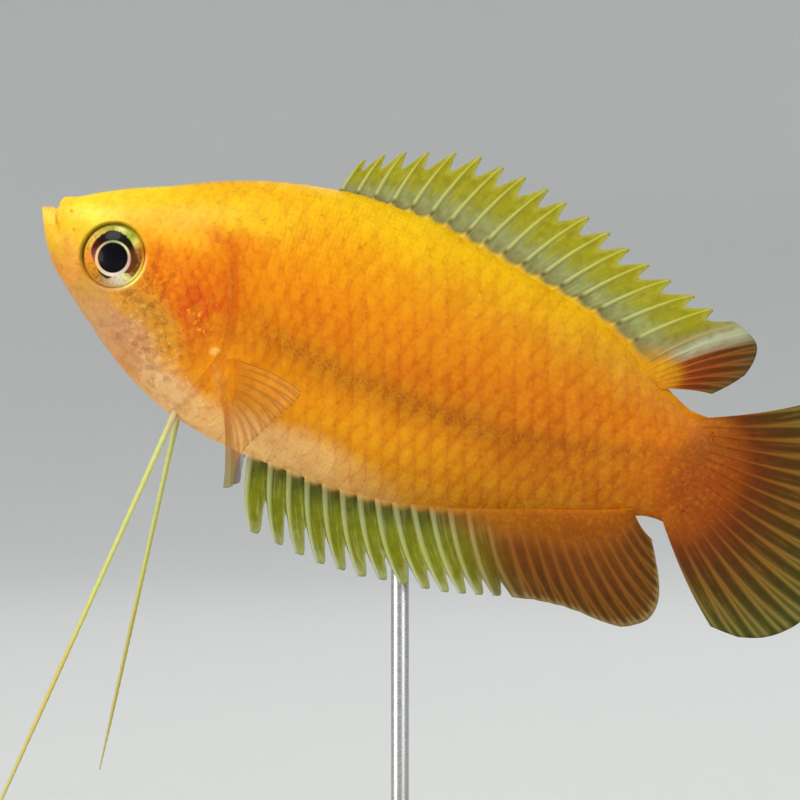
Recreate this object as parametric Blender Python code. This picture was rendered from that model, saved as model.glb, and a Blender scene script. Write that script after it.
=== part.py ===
"""A sunset honey gourami as a still, life-size display model on a small stand.

Lengths are millimetres in the fish's own frame until a mesh is made: x runs back from
the tip of the lower jaw, y is sideways with the left flank at -y, and z is up the back.
The stand is made in the display frame, whose floor is z = 0.
"""

import bisect
import math

import bmesh
import bpy
from mathutils import Matrix, Vector

MM = 0.001

# Clearance between touching pieces, how deep a fin's root is sunk before it is cut clear,
# the step for measuring a slope, and the angle past which an edge is shaded sharp
GAP = 0.3
SINK = 0.9
SLOPE_STEP = 0.2
SHARP_ANGLE = math.radians(40.0)

# Pose: the fish climbs a little, and its jaw sits this far left of and above the origin
PITCH = math.radians(22.0)
SNOUT_X = -25.6
SNOUT_Z = 46.07

# Body stations: distance back, crown, keel, half width
BODY = (
    (-0.05, 0.14, -0.06, 0.12),
    (0.35, 0.30, -0.80, 0.62),
    (0.80, 0.47, -1.60, 0.92),
    (1.02, 1.18, -1.95, 1.04),
    (2.00, 1.72, -3.15, 1.42),
    (3.30, 2.55, -4.18, 1.85),
    (5.00, 3.50, -5.42, 2.32),
    (7.40, 4.64, -7.03, 2.80),
    (10.0, 6.00, -8.42, 3.25),
    (13.0, 7.25, -9.50, 3.55),
    (16.6, 8.25, -10.03, 3.70),
    (20.0, 8.85, -10.17, 3.62),
    (24.0, 8.97, -10.14, 3.40),
    (28.0, 8.56, -9.78, 3.00),
    (32.0, 8.02, -8.80, 2.50),
    (36.0, 7.45, -7.47, 1.95),
    (39.0, 6.60, -6.38, 1.50),
    (41.0, 5.55, -5.60, 1.25),
    (43.5, 4.33, -4.55, 1.00),
    (45.4, 3.72, -3.85, 0.78),
    (47.4, 3.85, -4.00, 0.42),
)
MIDDLE_SHARE = 0.52
SECTION_POWER = 1.1

# Points round a section, and sections along each length of the body
AROUND = 36
SNOUT_BACK = 1.5
HEAD_STEPS = 17
TRUNK_STEPS = 18
STALK_STEPS = 9
GROWN_STEPS = 56
EDGE_ROUNDS = 8

# Where the gill cover ends, by height, and how far its edge stands proud
GILL_EDGE = ((-10.0, 11.9), (-7.5, 13.6), (-3.9, 14.58), (-0.9, 13.89), (3.3, 11.96), (7.5, 10.9))
GILL_NOMINAL = 12.0
GILL_LIFT = 0.28
GILL_REACH = 3.4
GILL_LOW = -8.6
GILL_HIGH = 3.6
GILL_FADE = 2.0

# Cut between trunk and tail stalk, and the rounded end of the stalk
STALK_CUT = 36.0
STALK_END = 47.2
STALK_END_ROUND = 1.4
STALK_END_HEIGHT = 4.0

# Eyes
EYE_X = 5.71
EYE_Z = -1.14
EYE_RADIUS = 2.1
EYE_HALF_DEPTH = 1.05
EYE_SINK = 0.35
RIM_RADIUS = 0.30
RIM_OFFSET = 0.12
RIM_POINTS = 24

# Mouth: the lips lie before and behind its line, each offset by (along, up)
MOUTH_X = 0.80
MOUTH_REACH = 0.65
MOUTH_BEND = 2.2
MOUTH_CORNER = math.radians(105.0)
MOUTH_STEPS = 7
MOUTH_GROOVE = 0.15
GROOVE_OFFSET = (-0.02, 0.0)
LIP_RADIUS = 0.30
LIP_TAPER = 0.6
LIP_OFFSETS = ((0.22, 0.20), (-0.18, -0.22))

# Nostrils: place in side view and radius of each, and the raised rim round it
NOSTRILS = ((2.34, -1.10, 0.24), (3.02, 0.15, 0.20))
NOSTRIL_RIM = 0.13
NOSTRIL_OFFSET = 0.08
NOSTRIL_POINTS = 10
SMALL_SIDES = 6

# Median fins: place along the back or belly against lean from the body's axis and ray length
DORSAL_BASE = (18.04, 41.24, 43.50)
DORSAL_SPINES = 18
DORSAL_SOFT = 7
DORSAL_SPREAD = 1.1
DORSAL_LEAN = (
    (18.0, 78), (20.8, 80), (26.2, 68), (30.3, 63.5), (36.6, 51), (41.2, 44), (42.0, 33), (43.5, 8)
)
DORSAL_LENGTH = (
    (18.0, 2.2), (20.4, 3.45), (23.5, 4.7), (26.2, 5.45), (29.0, 5.55), (36.0, 5.35), (41.2, 6.1),
    (42.0, 6.9), (42.6, 6.3), (43.1, 4.8), (43.5, 2.0)
)
DORSAL_NOTCH = 1.35
DORSAL_WEB_SHARE = 0.45
DORSAL_BEND = 6.0
ANAL_BASE = (19.1, 35.25, 44.5)
ANAL_SPINES = 14
ANAL_SOFT = 13
ANAL_SPREAD = 0.93
ANAL_LEAN = (
    (19.1, 69), (23.1, 62), (27.2, 56), (29.7, 52.5), (38.4, 49), (39.8, 43), (41.2, 38),
    (43.2, 33), (44.5, 31)
)
ANAL_LENGTH = (
    (19.1, 4.35), (21.5, 4.8), (27.2, 5.0), (35.2, 5.4), (38.4, 6.1), (40.4, 7.9), (41.2, 7.8),
    (42.3, 6.8), (43.2, 5.0), (44.5, 1.6)
)
ANAL_NOTCH = 1.6
ANAL_WEB_SHARE = 0.8
ANAL_BEND = 10.0

# Both median fins: soft rays crowd towards the rear, a short spine has a shallow notch,
# and the membrane ends a little inside the soft rays' tips
SOFT_SPREAD = 0.8
NOTCH_SHARE = 0.4
NOTCH_SHIFT = 0.05
NOTCH_EASE = 1.5
SOFT_INSET = 0.015
MEDIAN_ROWS = 6

# Tail fin: a fan that opens a little further below than above
TAIL_RAYS = 16
TAIL_TOP = 3.70
TAIL_BOTTOM = -3.90
TAIL_LEAN_TOP = 31.0
TAIL_LEAN_BOTTOM = -43.5
TAIL_BEND = -6.0
TAIL_LENGTH = 11.2
TAIL_ROUNDING = 3.6
TAIL_ROUNDING_POWER = 4.0
TAIL_INSET = 0.25
TAIL_ROWS = 8

# Paired fins
PECTORAL_ROOT = (15.5, -5.9)
PECTORAL_ROOT_HALF = 0.8
PECTORAL_RAYS = 10
PECTORAL_LEANS = (6.0, -63.0)
PECTORAL_FLARE = ((0.0, 40.0), (0.5, 50.0), (0.85, 36.0), (1.0, 27.0))
PECTORAL_LENGTH = ((0.0, 6.6), (0.4, 7.2), (0.8, 7.3), (1.0, 7.8))
PECTORAL_INSET = 0.2
PECTORAL_ROWS = 6
THREAD_ROOT = (13.3, 0.55, -8.4)
THREAD_TIPS = {"left": (12.35, -6.0, -41.2), "right": (16.95, 14.6, -35.0)}
THREAD_RADII = ((0.0, 0.50), (0.12, 0.36), (0.3, 0.28), (0.85, 0.26), (1.0, 0.11))
THREAD_STEPS = 22

# Half thickness of a ray's ridge and of the membrane between two rays, root to tip
RIDGE = ((0.0, 0.42), (0.5, 0.34), (1.0, 0.16))
WEB = ((0.0, 0.30), (0.6, 0.25), (1.0, 0.20))
TAIL_RIDGE = ((0.0, 0.44), (0.5, 0.34), (1.0, 0.22))
PECTORAL_RIDGE = ((0.0, 0.34), (0.5, 0.31), (1.0, 0.16))
PECTORAL_WEB = ((0.0, 0.30), (0.6, 0.25), (1.0, 0.18))

# Stand
BASE_LENGTH = 40.0
BASE_WIDTH = 32.0
BASE_THICK = 3.0
BASE_BEVEL = 0.6
BASE_POINTS = 48
ROD_X = -1.8
ROD_Y = 2.2
ROD_RADIUS = 0.6
ROD_TOP = 31.5


def curve_through(points):
    """A smooth curve through (place, value) points, which never overshoots them."""
    places = [place for place, _ in points]
    values = [value for _, value in points]
    chords = [
        (values[i + 1] - values[i]) / (places[i + 1] - places[i]) for i in range(len(points) - 1)
    ]
    slopes = [chords[0]]
    for before, after in zip(chords, chords[1:]):
        slopes.append(2 * before * after / (before + after) if before * after > 0 else 0.0)
    slopes.append(chords[-1])

    def value_at(place):
        i = min(max(bisect.bisect_right(places, place) - 1, 0), len(chords) - 1)
        span = places[i + 1] - places[i]
        t = min(max((place - places[i]) / span, 0.0), 1.0)
        start = values[i] * (1 + 2 * t) + slopes[i] * span * t
        end = values[i + 1] * (3 - 2 * t) - slopes[i + 1] * span * (1 - t)
        return start * (1 - t) ** 2 + end * t ** 2

    return value_at


def smooth_step(t):
    t = min(max(t, 0.0), 1.0)
    return t * t * (3 - 2 * t)


crown = curve_through([(station[0], station[1]) for station in BODY])
keel = curve_through([(station[0], station[2]) for station in BODY])
half_width = curve_through([(station[0], station[3]) for station in BODY])
gill_edge = curve_through(GILL_EDGE)


def middle(x):
    return keel(x) + MIDDLE_SHARE * (crown(x) - keel(x))


def surface_point(x, angle, grow=0.0):
    """The body's surface at a station; angle 0 is the crown, and the right side is positive."""
    up = math.cos(angle)
    out = math.sin(angle)
    height = crown(x) + grow - middle(x) if up >= 0 else middle(x) - keel(x) + grow
    width = (half_width(x) + grow) * abs(out) ** SECTION_POWER
    return Vector((x, math.copysign(width, out), middle(x) + height * up))


def flank(x, z):
    """How far the surface stands out from the middle plane at this place in side view."""
    height = crown(x) - middle(x) if z >= middle(x) else middle(x) - keel(x)
    up = min(abs(z - middle(x)) / height, 1.0)
    return half_width(x) * (1 - up * up) ** (SECTION_POWER / 2)


def flank_point(x, z, side, out=0.0):
    return Vector((x, side * (flank(x, z) + out), z))


def flank_normal(x, z, side):
    step = SLOPE_STEP
    along = (flank(x + step, z) - flank(x - step, z)) / (2 * step)
    above = (flank(x, z + step) - flank(x, z - step)) / (2 * step)
    return Vector((-along, side, -above)).normalized()


def gill_lift(x, z):
    """The gill cover's rise towards its rear edge, fading above and below."""
    rise = smooth_step(1 - (gill_edge(z) - x) / GILL_REACH)
    fade = smooth_step((z - GILL_LOW) / GILL_FADE) * smooth_step((GILL_HIGH - z) / GILL_FADE)
    return GILL_LIFT * rise * fade


def gill_gap_edge(z):
    """The front edge of the trunk, a gap behind the gill cover square to its edge."""
    slope = (gill_edge(z + SLOPE_STEP) - gill_edge(z - SLOPE_STEP)) / (2 * SLOPE_STEP)
    return gill_edge(z) + GAP * math.hypot(1.0, slope)


def stalk_end(z):
    return STALK_END - STALK_END_ROUND * (z / STALK_END_HEIGHT) ** 2


def body_ring(plane_x, edge=None, nominal=0.0, pull=0.0, lift=None, grow=0.0):
    """Points round the body at plane_x, drawn towards an edge that bends in side view."""
    ring = []
    for k in range(AROUND):
        angle = 2 * math.pi * k / AROUND
        point = surface_point(plane_x, angle, grow)
        if edge:
            for _ in range(EDGE_ROUNDS):
                x = plane_x + pull * (edge(point.z) - nominal)
                point = surface_point(x, angle, grow)
        if lift and 0 < k != AROUND // 2:
            point.y += math.copysign(lift(point.x, point.z), math.sin(angle))
        ring.append(point)
    return ring


def new_object(name, bm, material=None, parent=None):
    """Turns a bmesh in millimetres into a smooth-shaded object in metres."""
    bmesh.ops.recalc_face_normals(bm, faces=bm.faces)
    bmesh.ops.scale(bm, vec=(MM, MM, MM), verts=bm.verts)
    mesh = bpy.data.meshes.new(name)
    bm.to_mesh(mesh)
    bm.free()
    mesh.shade_smooth()
    mesh.set_sharp_from_angle(angle=SHARP_ANGLE)
    if material:
        mesh.materials.append(material)
    obj = bpy.data.objects.new(name, mesh)
    obj.parent = parent
    bpy.context.scene.collection.objects.link(obj)
    return obj


def helper(name, bm, parent=None):
    """A piece that is joined to another or cut from it, and isn't shown itself."""
    obj = new_object(name, bm, parent=parent)
    obj.hide_render = True
    obj.display_type = "WIRE"
    return obj


def ladder_cap(bm, ring):
    """Closes a ring from side to side, so that a bent end stays straight across."""
    half = AROUND // 2
    for k in range(half):
        corners = [ring[k], ring[k + 1], ring[-(k + 1)], ring[-k]]
        bm.faces.new(list(dict.fromkeys(corners)))


def loft(rings):
    bm = bmesh.new()
    loops = [[bm.verts.new(point) for point in ring] for ring in rings]
    for before, after in zip(loops, loops[1:]):
        for k in range(len(before)):
            nxt = (k + 1) % len(before)
            bm.faces.new((before[k], before[nxt], after[nxt], after[k]))
    ladder_cap(bm, loops[0])
    ladder_cap(bm, loops[-1])
    return bm


def tube(path, radii, sides=8, closed=False):
    """A round tube along a path, with flat ends or closed on itself."""
    bm = bmesh.new()
    count = len(path)
    loops = []
    across = Vector((0, 1, 0))
    for i, centre in enumerate(path):
        before = path[i - 1] if closed or i else path[i]
        after = path[(i + 1) % count] if closed or i + 1 < count else path[i]
        along = (after - before).normalized()
        across = (across - along * across.dot(along)).normalized()
        up = along.cross(across)
        loop = []
        for k in range(sides):
            angle = 2 * math.pi * k / sides
            spoke = across * math.cos(angle) + up * math.sin(angle)
            loop.append(bm.verts.new(centre + radii[i] * spoke))
        loops.append(loop)
    pairs = list(zip(loops, loops[1:]))
    if closed:
        turn = min(range(sides), key=lambda k: (loops[0][k].co - loops[-1][0].co).length)
        pairs.append((loops[-1], loops[0][turn:] + loops[0][:turn]))
    else:
        bm.faces.new(loops[0])
        bm.faces.new(loops[-1])
    for before, after in pairs:
        for k in range(sides):
            nxt = (k + 1) % sides
            bm.faces.new((before[k], before[nxt], after[nxt], after[k]))
    return bm


def largest_piece(bm):
    """Leaves the piece that encloses most, and drops loose scraps and sealed hollows."""
    left = set(bm.verts)
    pieces = []
    while left:
        piece = set()
        edge = [left.pop()]
        while edge:
            vert = edge.pop()
            piece.add(vert)
            for near in (link.other_vert(vert) for link in vert.link_edges):
                if near in left:
                    left.discard(near)
                    edge.append(near)
        pieces.append(piece)

    def size(piece):
        spans = [max(v.co[i] for v in piece) - min(v.co[i] for v in piece) for i in range(3)]
        return spans[0] * spans[1] * spans[2]

    pieces.sort(key=size)
    for piece in pieces[:-1]:
        bmesh.ops.delete(bm, geom=list(piece), context="VERTS")


def combine(obj, pieces, operation, solver="EXACT"):
    """Joins pieces to an object, or cuts them from it, and then removes the pieces."""
    group = bpy.data.collections.new(obj.name + "_pieces")
    for piece in pieces:
        group.objects.link(piece)
    modifier = obj.modifiers.new(operation.title(), "BOOLEAN")
    modifier.operation = operation
    modifier.operand_type = "COLLECTION"
    modifier.collection = group
    modifier.solver = solver
    graph = bpy.context.evaluated_depsgraph_get()
    mesh = bpy.data.meshes.new_from_object(obj.evaluated_get(graph))
    obj.modifiers.remove(modifier)
    bm = bmesh.new()
    bm.from_mesh(mesh)
    largest_piece(bm)
    bm.to_mesh(mesh)
    bm.free()
    mesh.name = obj.name
    mesh.shade_smooth()
    mesh.set_sharp_from_angle(angle=SHARP_ANGLE)
    obj.data = mesh
    for piece in pieces:
        bpy.data.objects.remove(piece)
    bpy.data.collections.remove(group)


def material(name, colour, roughness, metallic=0.0):
    made = bpy.data.materials.new(name)
    made.use_nodes = True
    shader = made.node_tree.nodes["Principled BSDF"]
    shader.inputs["Base Color"].default_value = (*colour, 1.0)
    shader.inputs["Roughness"].default_value = roughness
    shader.inputs["Metallic"].default_value = metallic
    return made


# Head, with its eyes, lips, nostrils and gill covers


def ellipsoid(side, grow=0.0):
    bm = bmesh.new()
    bmesh.ops.create_uvsphere(bm, u_segments=20, v_segments=12, radius=1.0)
    normal = flank_normal(EYE_X, EYE_Z, side)
    centre = flank_point(EYE_X, EYE_Z, side) - normal * EYE_SINK
    across = EYE_RADIUS + grow
    size = Matrix.Diagonal((across, across, EYE_HALF_DEPTH + grow, 1.0))
    turn = Vector((0, 0, 1)).rotation_difference(normal).to_matrix().to_4x4()
    bmesh.ops.transform(bm, matrix=Matrix.Translation(centre) @ turn @ size, verts=bm.verts)
    return bm


def flank_circle(x, z, radius, side, count):
    """A circle in side view, laid on the body's surface."""
    points = []
    for k in range(count):
        angle = 2 * math.pi * k / count
        points.append(flank_point(x + radius * math.cos(angle), z + radius * math.sin(angle), side))
    return points


def mouth_line(offset):
    """From one corner of the mouth round the front to the other, shifted for a lip."""
    points = []
    for k in range(-MOUTH_STEPS, MOUTH_STEPS + 1):
        share = abs(k) / MOUTH_STEPS
        x = MOUTH_X + MOUTH_REACH * share ** MOUTH_BEND
        point = surface_point(x, MOUTH_CORNER * k / MOUTH_STEPS)
        shift = Vector((offset[0], 0, offset[1])) * (1 - 0.5 * share)
        points.append(point + shift)
    return points


def lip(offset):
    """A lip along the mouth's line, thinner towards its corners."""
    radii = []
    for k in range(-MOUTH_STEPS, MOUTH_STEPS + 1):
        radii.append(LIP_RADIUS * (1 - LIP_TAPER * (k / MOUTH_STEPS) ** 2))
    return tube(mouth_line(offset), radii, SMALL_SIDES)


def make_head(parent, skin):
    snout = [station[0] for station in BODY if station[0] < SNOUT_BACK]
    length = GILL_NOMINAL - SNOUT_BACK
    behind = [SNOUT_BACK + length * k / HEAD_STEPS for k in range(HEAD_STEPS + 1)]
    rings = []
    for plane_x in snout + behind:
        pull = max(plane_x / GILL_NOMINAL, 0.0) ** 3
        rings.append(body_ring(plane_x, gill_edge, GILL_NOMINAL, pull, gill_lift))
    head = new_object("head", loft(rings), skin, parent)

    forms = []
    cuts = []
    for side in (-1, 1):
        rim = flank_circle(EYE_X, EYE_Z, EYE_RADIUS + GAP + RIM_OFFSET, side, RIM_POINTS)
        forms.append(helper("rim", tube(rim, [RIM_RADIUS] * RIM_POINTS, SMALL_SIDES, True), parent))
        cuts.append(helper("socket", ellipsoid(side, GAP), parent))
        for x, z, radius in NOSTRILS:
            ring = flank_circle(x, z, radius + NOSTRIL_OFFSET, side, NOSTRIL_POINTS)
            collar = tube(ring, [NOSTRIL_RIM] * NOSTRIL_POINTS, SMALL_SIDES, True)
            forms.append(helper("nostril_rim", collar, parent))
            bm = bmesh.new()
            bmesh.ops.create_icosphere(bm, subdivisions=2, radius=radius)
            bmesh.ops.translate(bm, vec=flank_point(x, z, side, NOSTRIL_OFFSET), verts=bm.verts)
            cuts.append(helper("nostril", bm, parent))
    for offset in LIP_OFFSETS:
        forms.append(helper("lip", lip(offset), parent))
    line = mouth_line(GROOVE_OFFSET)
    cuts.append(helper("mouth", tube(line, [MOUTH_GROOVE] * len(line), SMALL_SIDES), parent))
    combine(head, forms, "UNION")
    combine(head, cuts, "DIFFERENCE")
    return head


def make_eyes(parent, glossy):
    for side, name in ((-1, "eye_left"), (1, "eye_right")):
        new_object(name, ellipsoid(side), glossy, parent)


# Trunk and tail stalk


def make_trunk(parent, skin):
    end = STALK_CUT - GAP / 2
    rings = []
    for k in range(TRUNK_STEPS + 1):
        share = k / TRUNK_STEPS
        plane_x = GILL_NOMINAL + (end - GILL_NOMINAL) * share
        rings.append(body_ring(plane_x, gill_gap_edge, GILL_NOMINAL, (1 - share) ** 3))
    return new_object("trunk", loft(rings), skin, parent)


def make_tail_stalk(parent, skin):
    start = STALK_CUT + GAP / 2
    rings = []
    for k in range(STALK_STEPS + 1):
        share = k / STALK_STEPS
        plane_x = start + (STALK_END - start) * share
        rings.append(body_ring(plane_x, stalk_end, STALK_END, share ** 3))
    return new_object("tail_stalk", loft(rings), skin, parent)


def grown_body(parent):
    """The whole body a gap larger all round, which cuts clear whatever grows from it."""
    first = BODY[0][0]
    spacing = (STALK_END - first) / GROWN_STEPS
    rings = [body_ring(first + spacing * k, grow=GAP) for k in range(GROWN_STEPS + 1)]
    return helper("grown_body", loft(rings), parent)


# Fins


def bent_ray(root, lean, length, bend, rows, flare=0.0):
    """Points from root to tip; lean is in side view, flare is outwards, bend curves it."""

    def direction(angle):
        angle = math.radians(angle)
        out = math.radians(flare)
        level = Vector((math.cos(angle), 0, math.sin(angle)))
        return level * math.cos(out) + Vector((0, math.sin(out), 0))

    tip = root + length * direction(lean)
    elbow = root + 0.5 * length * direction(lean + bend)
    points = []
    for j in range(rows):
        t = j / (rows - 1)
        points.append(root * (1 - t) ** 2 + elbow * 2 * t * (1 - t) + tip * t * t)
    return points


def web_between(first, second, share, shift):
    """The membrane's own line between two rays, with its end shifted for a notch."""
    line = [a.lerp(b, share) for a, b in zip(first, second)]
    last = len(line) - 1
    return [point + shift * (j / last) ** NOTCH_EASE for j, point in enumerate(line)]


def fin_sheet(columns, ridge, web):
    """A closed sheet through rays and webs in turn, thicker along each ray."""
    ridge_at = curve_through(ridge)
    web_at = curve_through(web)
    bm = bmesh.new()
    count = len(columns)
    rows = len(columns[0])
    normals = []
    for i, column in enumerate(columns):
        before = columns[max(i - 1, 0)]
        after = columns[min(i + 1, count - 1)]
        normals.append([])
        for j in range(rows):
            along = column[min(j + 1, rows - 1)] - column[max(j - 1, 0)]
            normals[i].append(along.cross(after[j] - before[j]).normalized())
    shared = sum((own[0] for own in normals), Vector()).normalized()
    sides = ([], [])
    for i, column in enumerate(columns):
        half_at = web_at if i % 2 else ridge_at
        for side in sides:
            side.append([])
        for j, point in enumerate(column):
            normal = shared.lerp(normals[i][j], min(j / 2, 1.0)).normalized()
            reach = normal * half_at(j / (rows - 1))
            for side, sign in zip(sides, (-1, 1)):
                side[i].append(bm.verts.new(point + reach * sign))
    for side in sides:
        for i in range(count - 1):
            for j in range(rows - 1):
                a, b = side[i][j], side[i + 1][j]
                c, d = side[i + 1][j + 1], side[i][j + 1]
                bm.faces.new((a, b, c))
                bm.faces.new((a, c, d))
    left, right = sides
    for i in range(count - 1):
        for j in (0, rows - 1):
            bm.faces.new((left[i][j], left[i + 1][j], right[i + 1][j], right[i][j]))
    for j in range(rows - 1):
        for i in (0, count - 1):
            bm.faces.new((left[i][j], left[i][j + 1], right[i][j + 1], right[i][j]))
    return bm


def median_columns(rays, sign, spines, notch, spine_share):
    """Rays and webs in turn: notched between the spines, and whole between the soft rays."""
    columns = []
    for i, (ray, after) in enumerate(zip(rays, rays[1:])):
        if i < spines - 1:
            share = spine_share
            depth = min(notch, NOTCH_SHARE * (ray[-1] - ray[0]).length)
            target = ray[-1] + Vector((NOTCH_SHIFT, 0, -sign * depth))
        else:
            share = 0.5
            target = ray[-1].lerp(after[-1], share).lerp(after[0], SOFT_INSET)
        shift = target - ray[-1].lerp(after[-1], share)
        columns += [ray, web_between(ray, after, share, shift)]
    columns.append(rays[-1])
    return columns


def median_rays(bases, root_z, lean, length, sign, bend):
    """The rays of a fin that stands on the middle line of the back or the belly."""
    lean_at = curve_through(lean)
    length_at = curve_through(length)
    rays = []
    for x in bases:
        root = Vector((x, 0, root_z(x)))
        rays.append(bent_ray(root, sign * lean_at(x), length_at(x), sign * bend, MEDIAN_ROWS))
    return rays


def spread(base, spines, soft, power):
    """Root places: spines along the first stretch, and soft rays closer along the second."""
    start, middle_x, end = base
    places = [start + (middle_x - start) * (i / (spines - 1)) ** power for i in range(spines)]
    places += [middle_x + (end - middle_x) * ((i + 1) / soft) ** SOFT_SPREAD for i in range(soft)]
    return places


def plain_columns(rays, inset):
    """Rays and webs in turn, with each web ending an inset short of the rays' tips."""
    columns = []
    for ray, after in zip(rays, rays[1:]):
        inwards = (ray[0] - ray[-1]).normalized() * inset
        columns += [ray, web_between(ray, after, 0.5, inwards)]
    columns.append(rays[-1])
    return columns


def make_dorsal_fin(parent, membrane):
    bases = spread(DORSAL_BASE, DORSAL_SPINES, DORSAL_SOFT, DORSAL_SPREAD)
    rays = median_rays(
        bases, lambda x: crown(x) + GAP, DORSAL_LEAN, DORSAL_LENGTH, 1, DORSAL_BEND
    )
    columns = median_columns(rays, 1, DORSAL_SPINES, DORSAL_NOTCH, DORSAL_WEB_SHARE)
    return new_object("dorsal_fin", fin_sheet(columns, RIDGE, WEB), membrane, parent)


def make_anal_fin(parent, membrane):
    bases = spread(ANAL_BASE, ANAL_SPINES, ANAL_SOFT, ANAL_SPREAD)
    rays = median_rays(bases, lambda x: keel(x) - GAP, ANAL_LEAN, ANAL_LENGTH, -1, ANAL_BEND)
    columns = median_columns(rays, -1, ANAL_SPINES, ANAL_NOTCH, ANAL_WEB_SHARE)
    return new_object("anal_fin", fin_sheet(columns, RIDGE, WEB), membrane, parent)


def make_tail_fin(parent, membrane):
    rays = []
    for i in range(TAIL_RAYS):
        share = i / (TAIL_RAYS - 1)
        z = TAIL_TOP + (TAIL_BOTTOM - TAIL_TOP) * share
        root = Vector((stalk_end(z) + GAP, 0, z))
        lean = TAIL_LEAN_TOP + (TAIL_LEAN_BOTTOM - TAIL_LEAN_TOP) * share
        length = TAIL_LENGTH - TAIL_ROUNDING * abs(2 * share - 1) ** TAIL_ROUNDING_POWER
        rays.append(bent_ray(root, lean, length, TAIL_BEND, TAIL_ROWS))
    sheet = fin_sheet(plain_columns(rays, TAIL_INSET), TAIL_RIDGE, WEB)
    return new_object("caudal_fin", sheet, membrane, parent)


def make_pectoral_fins(parent, membrane):
    flare_at = curve_through(PECTORAL_FLARE)
    length_at = curve_through(PECTORAL_LENGTH)
    top, bottom = PECTORAL_LEANS
    middle_lean = math.radians((top + bottom) / 2)
    root_x, root_z = PECTORAL_ROOT
    for side, name in ((-1, "pectoral_fin_left"), (1, "pectoral_fin_right")):
        rays = []
        for i in range(PECTORAL_RAYS):
            share = i / (PECTORAL_RAYS - 1)
            along = PECTORAL_ROOT_HALF * (1 - 2 * share)
            x = root_x - along * math.sin(middle_lean)
            z = root_z + along * math.cos(middle_lean)
            lean = top + (bottom - top) * share
            root = flank_point(x, z, 1)
            ray = bent_ray(root, lean, length_at(share), 0, PECTORAL_ROWS, flare_at(share))
            ray[0] -= flank_normal(root_x, root_z, 1) * SINK
            rays.append([Vector((p.x, side * p.y, p.z)) for p in ray])
        sheet = fin_sheet(plain_columns(rays, PECTORAL_INSET), PECTORAL_RIDGE, PECTORAL_WEB)
        fin = new_object(name, sheet, membrane, parent)
        combine(fin, [grown_body(parent)], "DIFFERENCE", "MANIFOLD")


def make_threads(parent, thread):
    """The pelvic fins, each a single long feeler that hangs and trails from the belly."""
    radius_at = curve_through(THREAD_RADII)
    steps = THREAD_STEPS
    for side, name in ((-1, "left"), (1, "right")):
        root = Vector((THREAD_ROOT[0], side * THREAD_ROOT[1], THREAD_ROOT[2]))
        tip = Vector(THREAD_TIPS[name])
        path = [root.lerp(tip, k / steps) for k in range(steps + 1)]
        radii = [radius_at(k / steps) for k in range(steps + 1)]
        feeler = new_object("pelvic_thread_" + name, tube(path, radii), thread, parent)
        combine(feeler, [grown_body(parent)], "DIFFERENCE")


# Stand


def make_base(finish):
    bm = bmesh.new()
    bmesh.ops.create_circle(bm, cap_ends=True, segments=BASE_POINTS, radius=0.5)
    bmesh.ops.scale(bm, vec=(BASE_LENGTH, BASE_WIDTH, 1.0), verts=bm.verts)
    raised = bmesh.ops.extrude_face_region(bm, geom=list(bm.faces))["geom"]
    top = [item for item in raised if isinstance(item, bmesh.types.BMVert)]
    bmesh.ops.translate(bm, vec=(0, 0, BASE_THICK), verts=top)
    rim = [edge for edge in bm.edges if all(vert in top for vert in edge.verts)]
    bmesh.ops.bevel(
        bm, geom=rim, offset=BASE_BEVEL, affect="EDGES", segments=2, profile=0.5, material=-1
    )
    return new_object("stand_base", bm, finish)


def make_rod(fish, finish):
    bm = bmesh.new()
    foot = BASE_THICK + GAP
    bmesh.ops.create_cone(
        bm, cap_ends=True, segments=16, radius1=ROD_RADIUS, radius2=ROD_RADIUS, depth=ROD_TOP - foot
    )
    bmesh.ops.translate(bm, vec=(ROD_X, ROD_Y, (ROD_TOP + foot) / 2), verts=bm.verts)
    rod = new_object("stand_rod", bm, finish)
    combine(rod, [grown_body(fish)], "DIFFERENCE")


def main():
    for obj in list(bpy.data.objects):
        bpy.data.objects.remove(obj, do_unlink=True)

    fish = bpy.data.objects.new("fish_pose", None)
    fish.location = (SNOUT_X * MM, 0, SNOUT_Z * MM)
    fish.rotation_euler = (0, PITCH, 0)
    bpy.context.scene.collection.objects.link(fish)
    bpy.context.view_layer.update()

    make_head(fish, material("head_skin", (0.85, 0.50, 0.06), 0.35))
    make_eyes(fish, material("eye", (0.10, 0.07, 0.03), 0.05))
    make_trunk(fish, material("trunk_skin", (0.82, 0.33, 0.02), 0.35))
    make_tail_stalk(fish, material("stalk_skin", (0.62, 0.20, 0.01), 0.35))
    make_dorsal_fin(fish, material("dorsal_membrane", (0.45, 0.42, 0.10), 0.40))
    make_anal_fin(fish, material("anal_membrane", (0.40, 0.34, 0.06), 0.40))
    make_tail_fin(fish, material("tail_membrane", (0.48, 0.16, 0.02), 0.40))
    make_pectoral_fins(fish, material("pectoral_membrane", (0.80, 0.45, 0.15), 0.30))
    make_threads(fish, material("feeler", (0.60, 0.60, 0.20), 0.40))
    make_base(material("dark_wood", (0.10, 0.05, 0.03), 0.45))
    make_rod(fish, material("steel", (0.60, 0.60, 0.60), 0.30, 1.0))


main()
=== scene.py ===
import bisect
import math
import random

import bmesh
import bpy
from mathutils import Matrix, Vector


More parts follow.
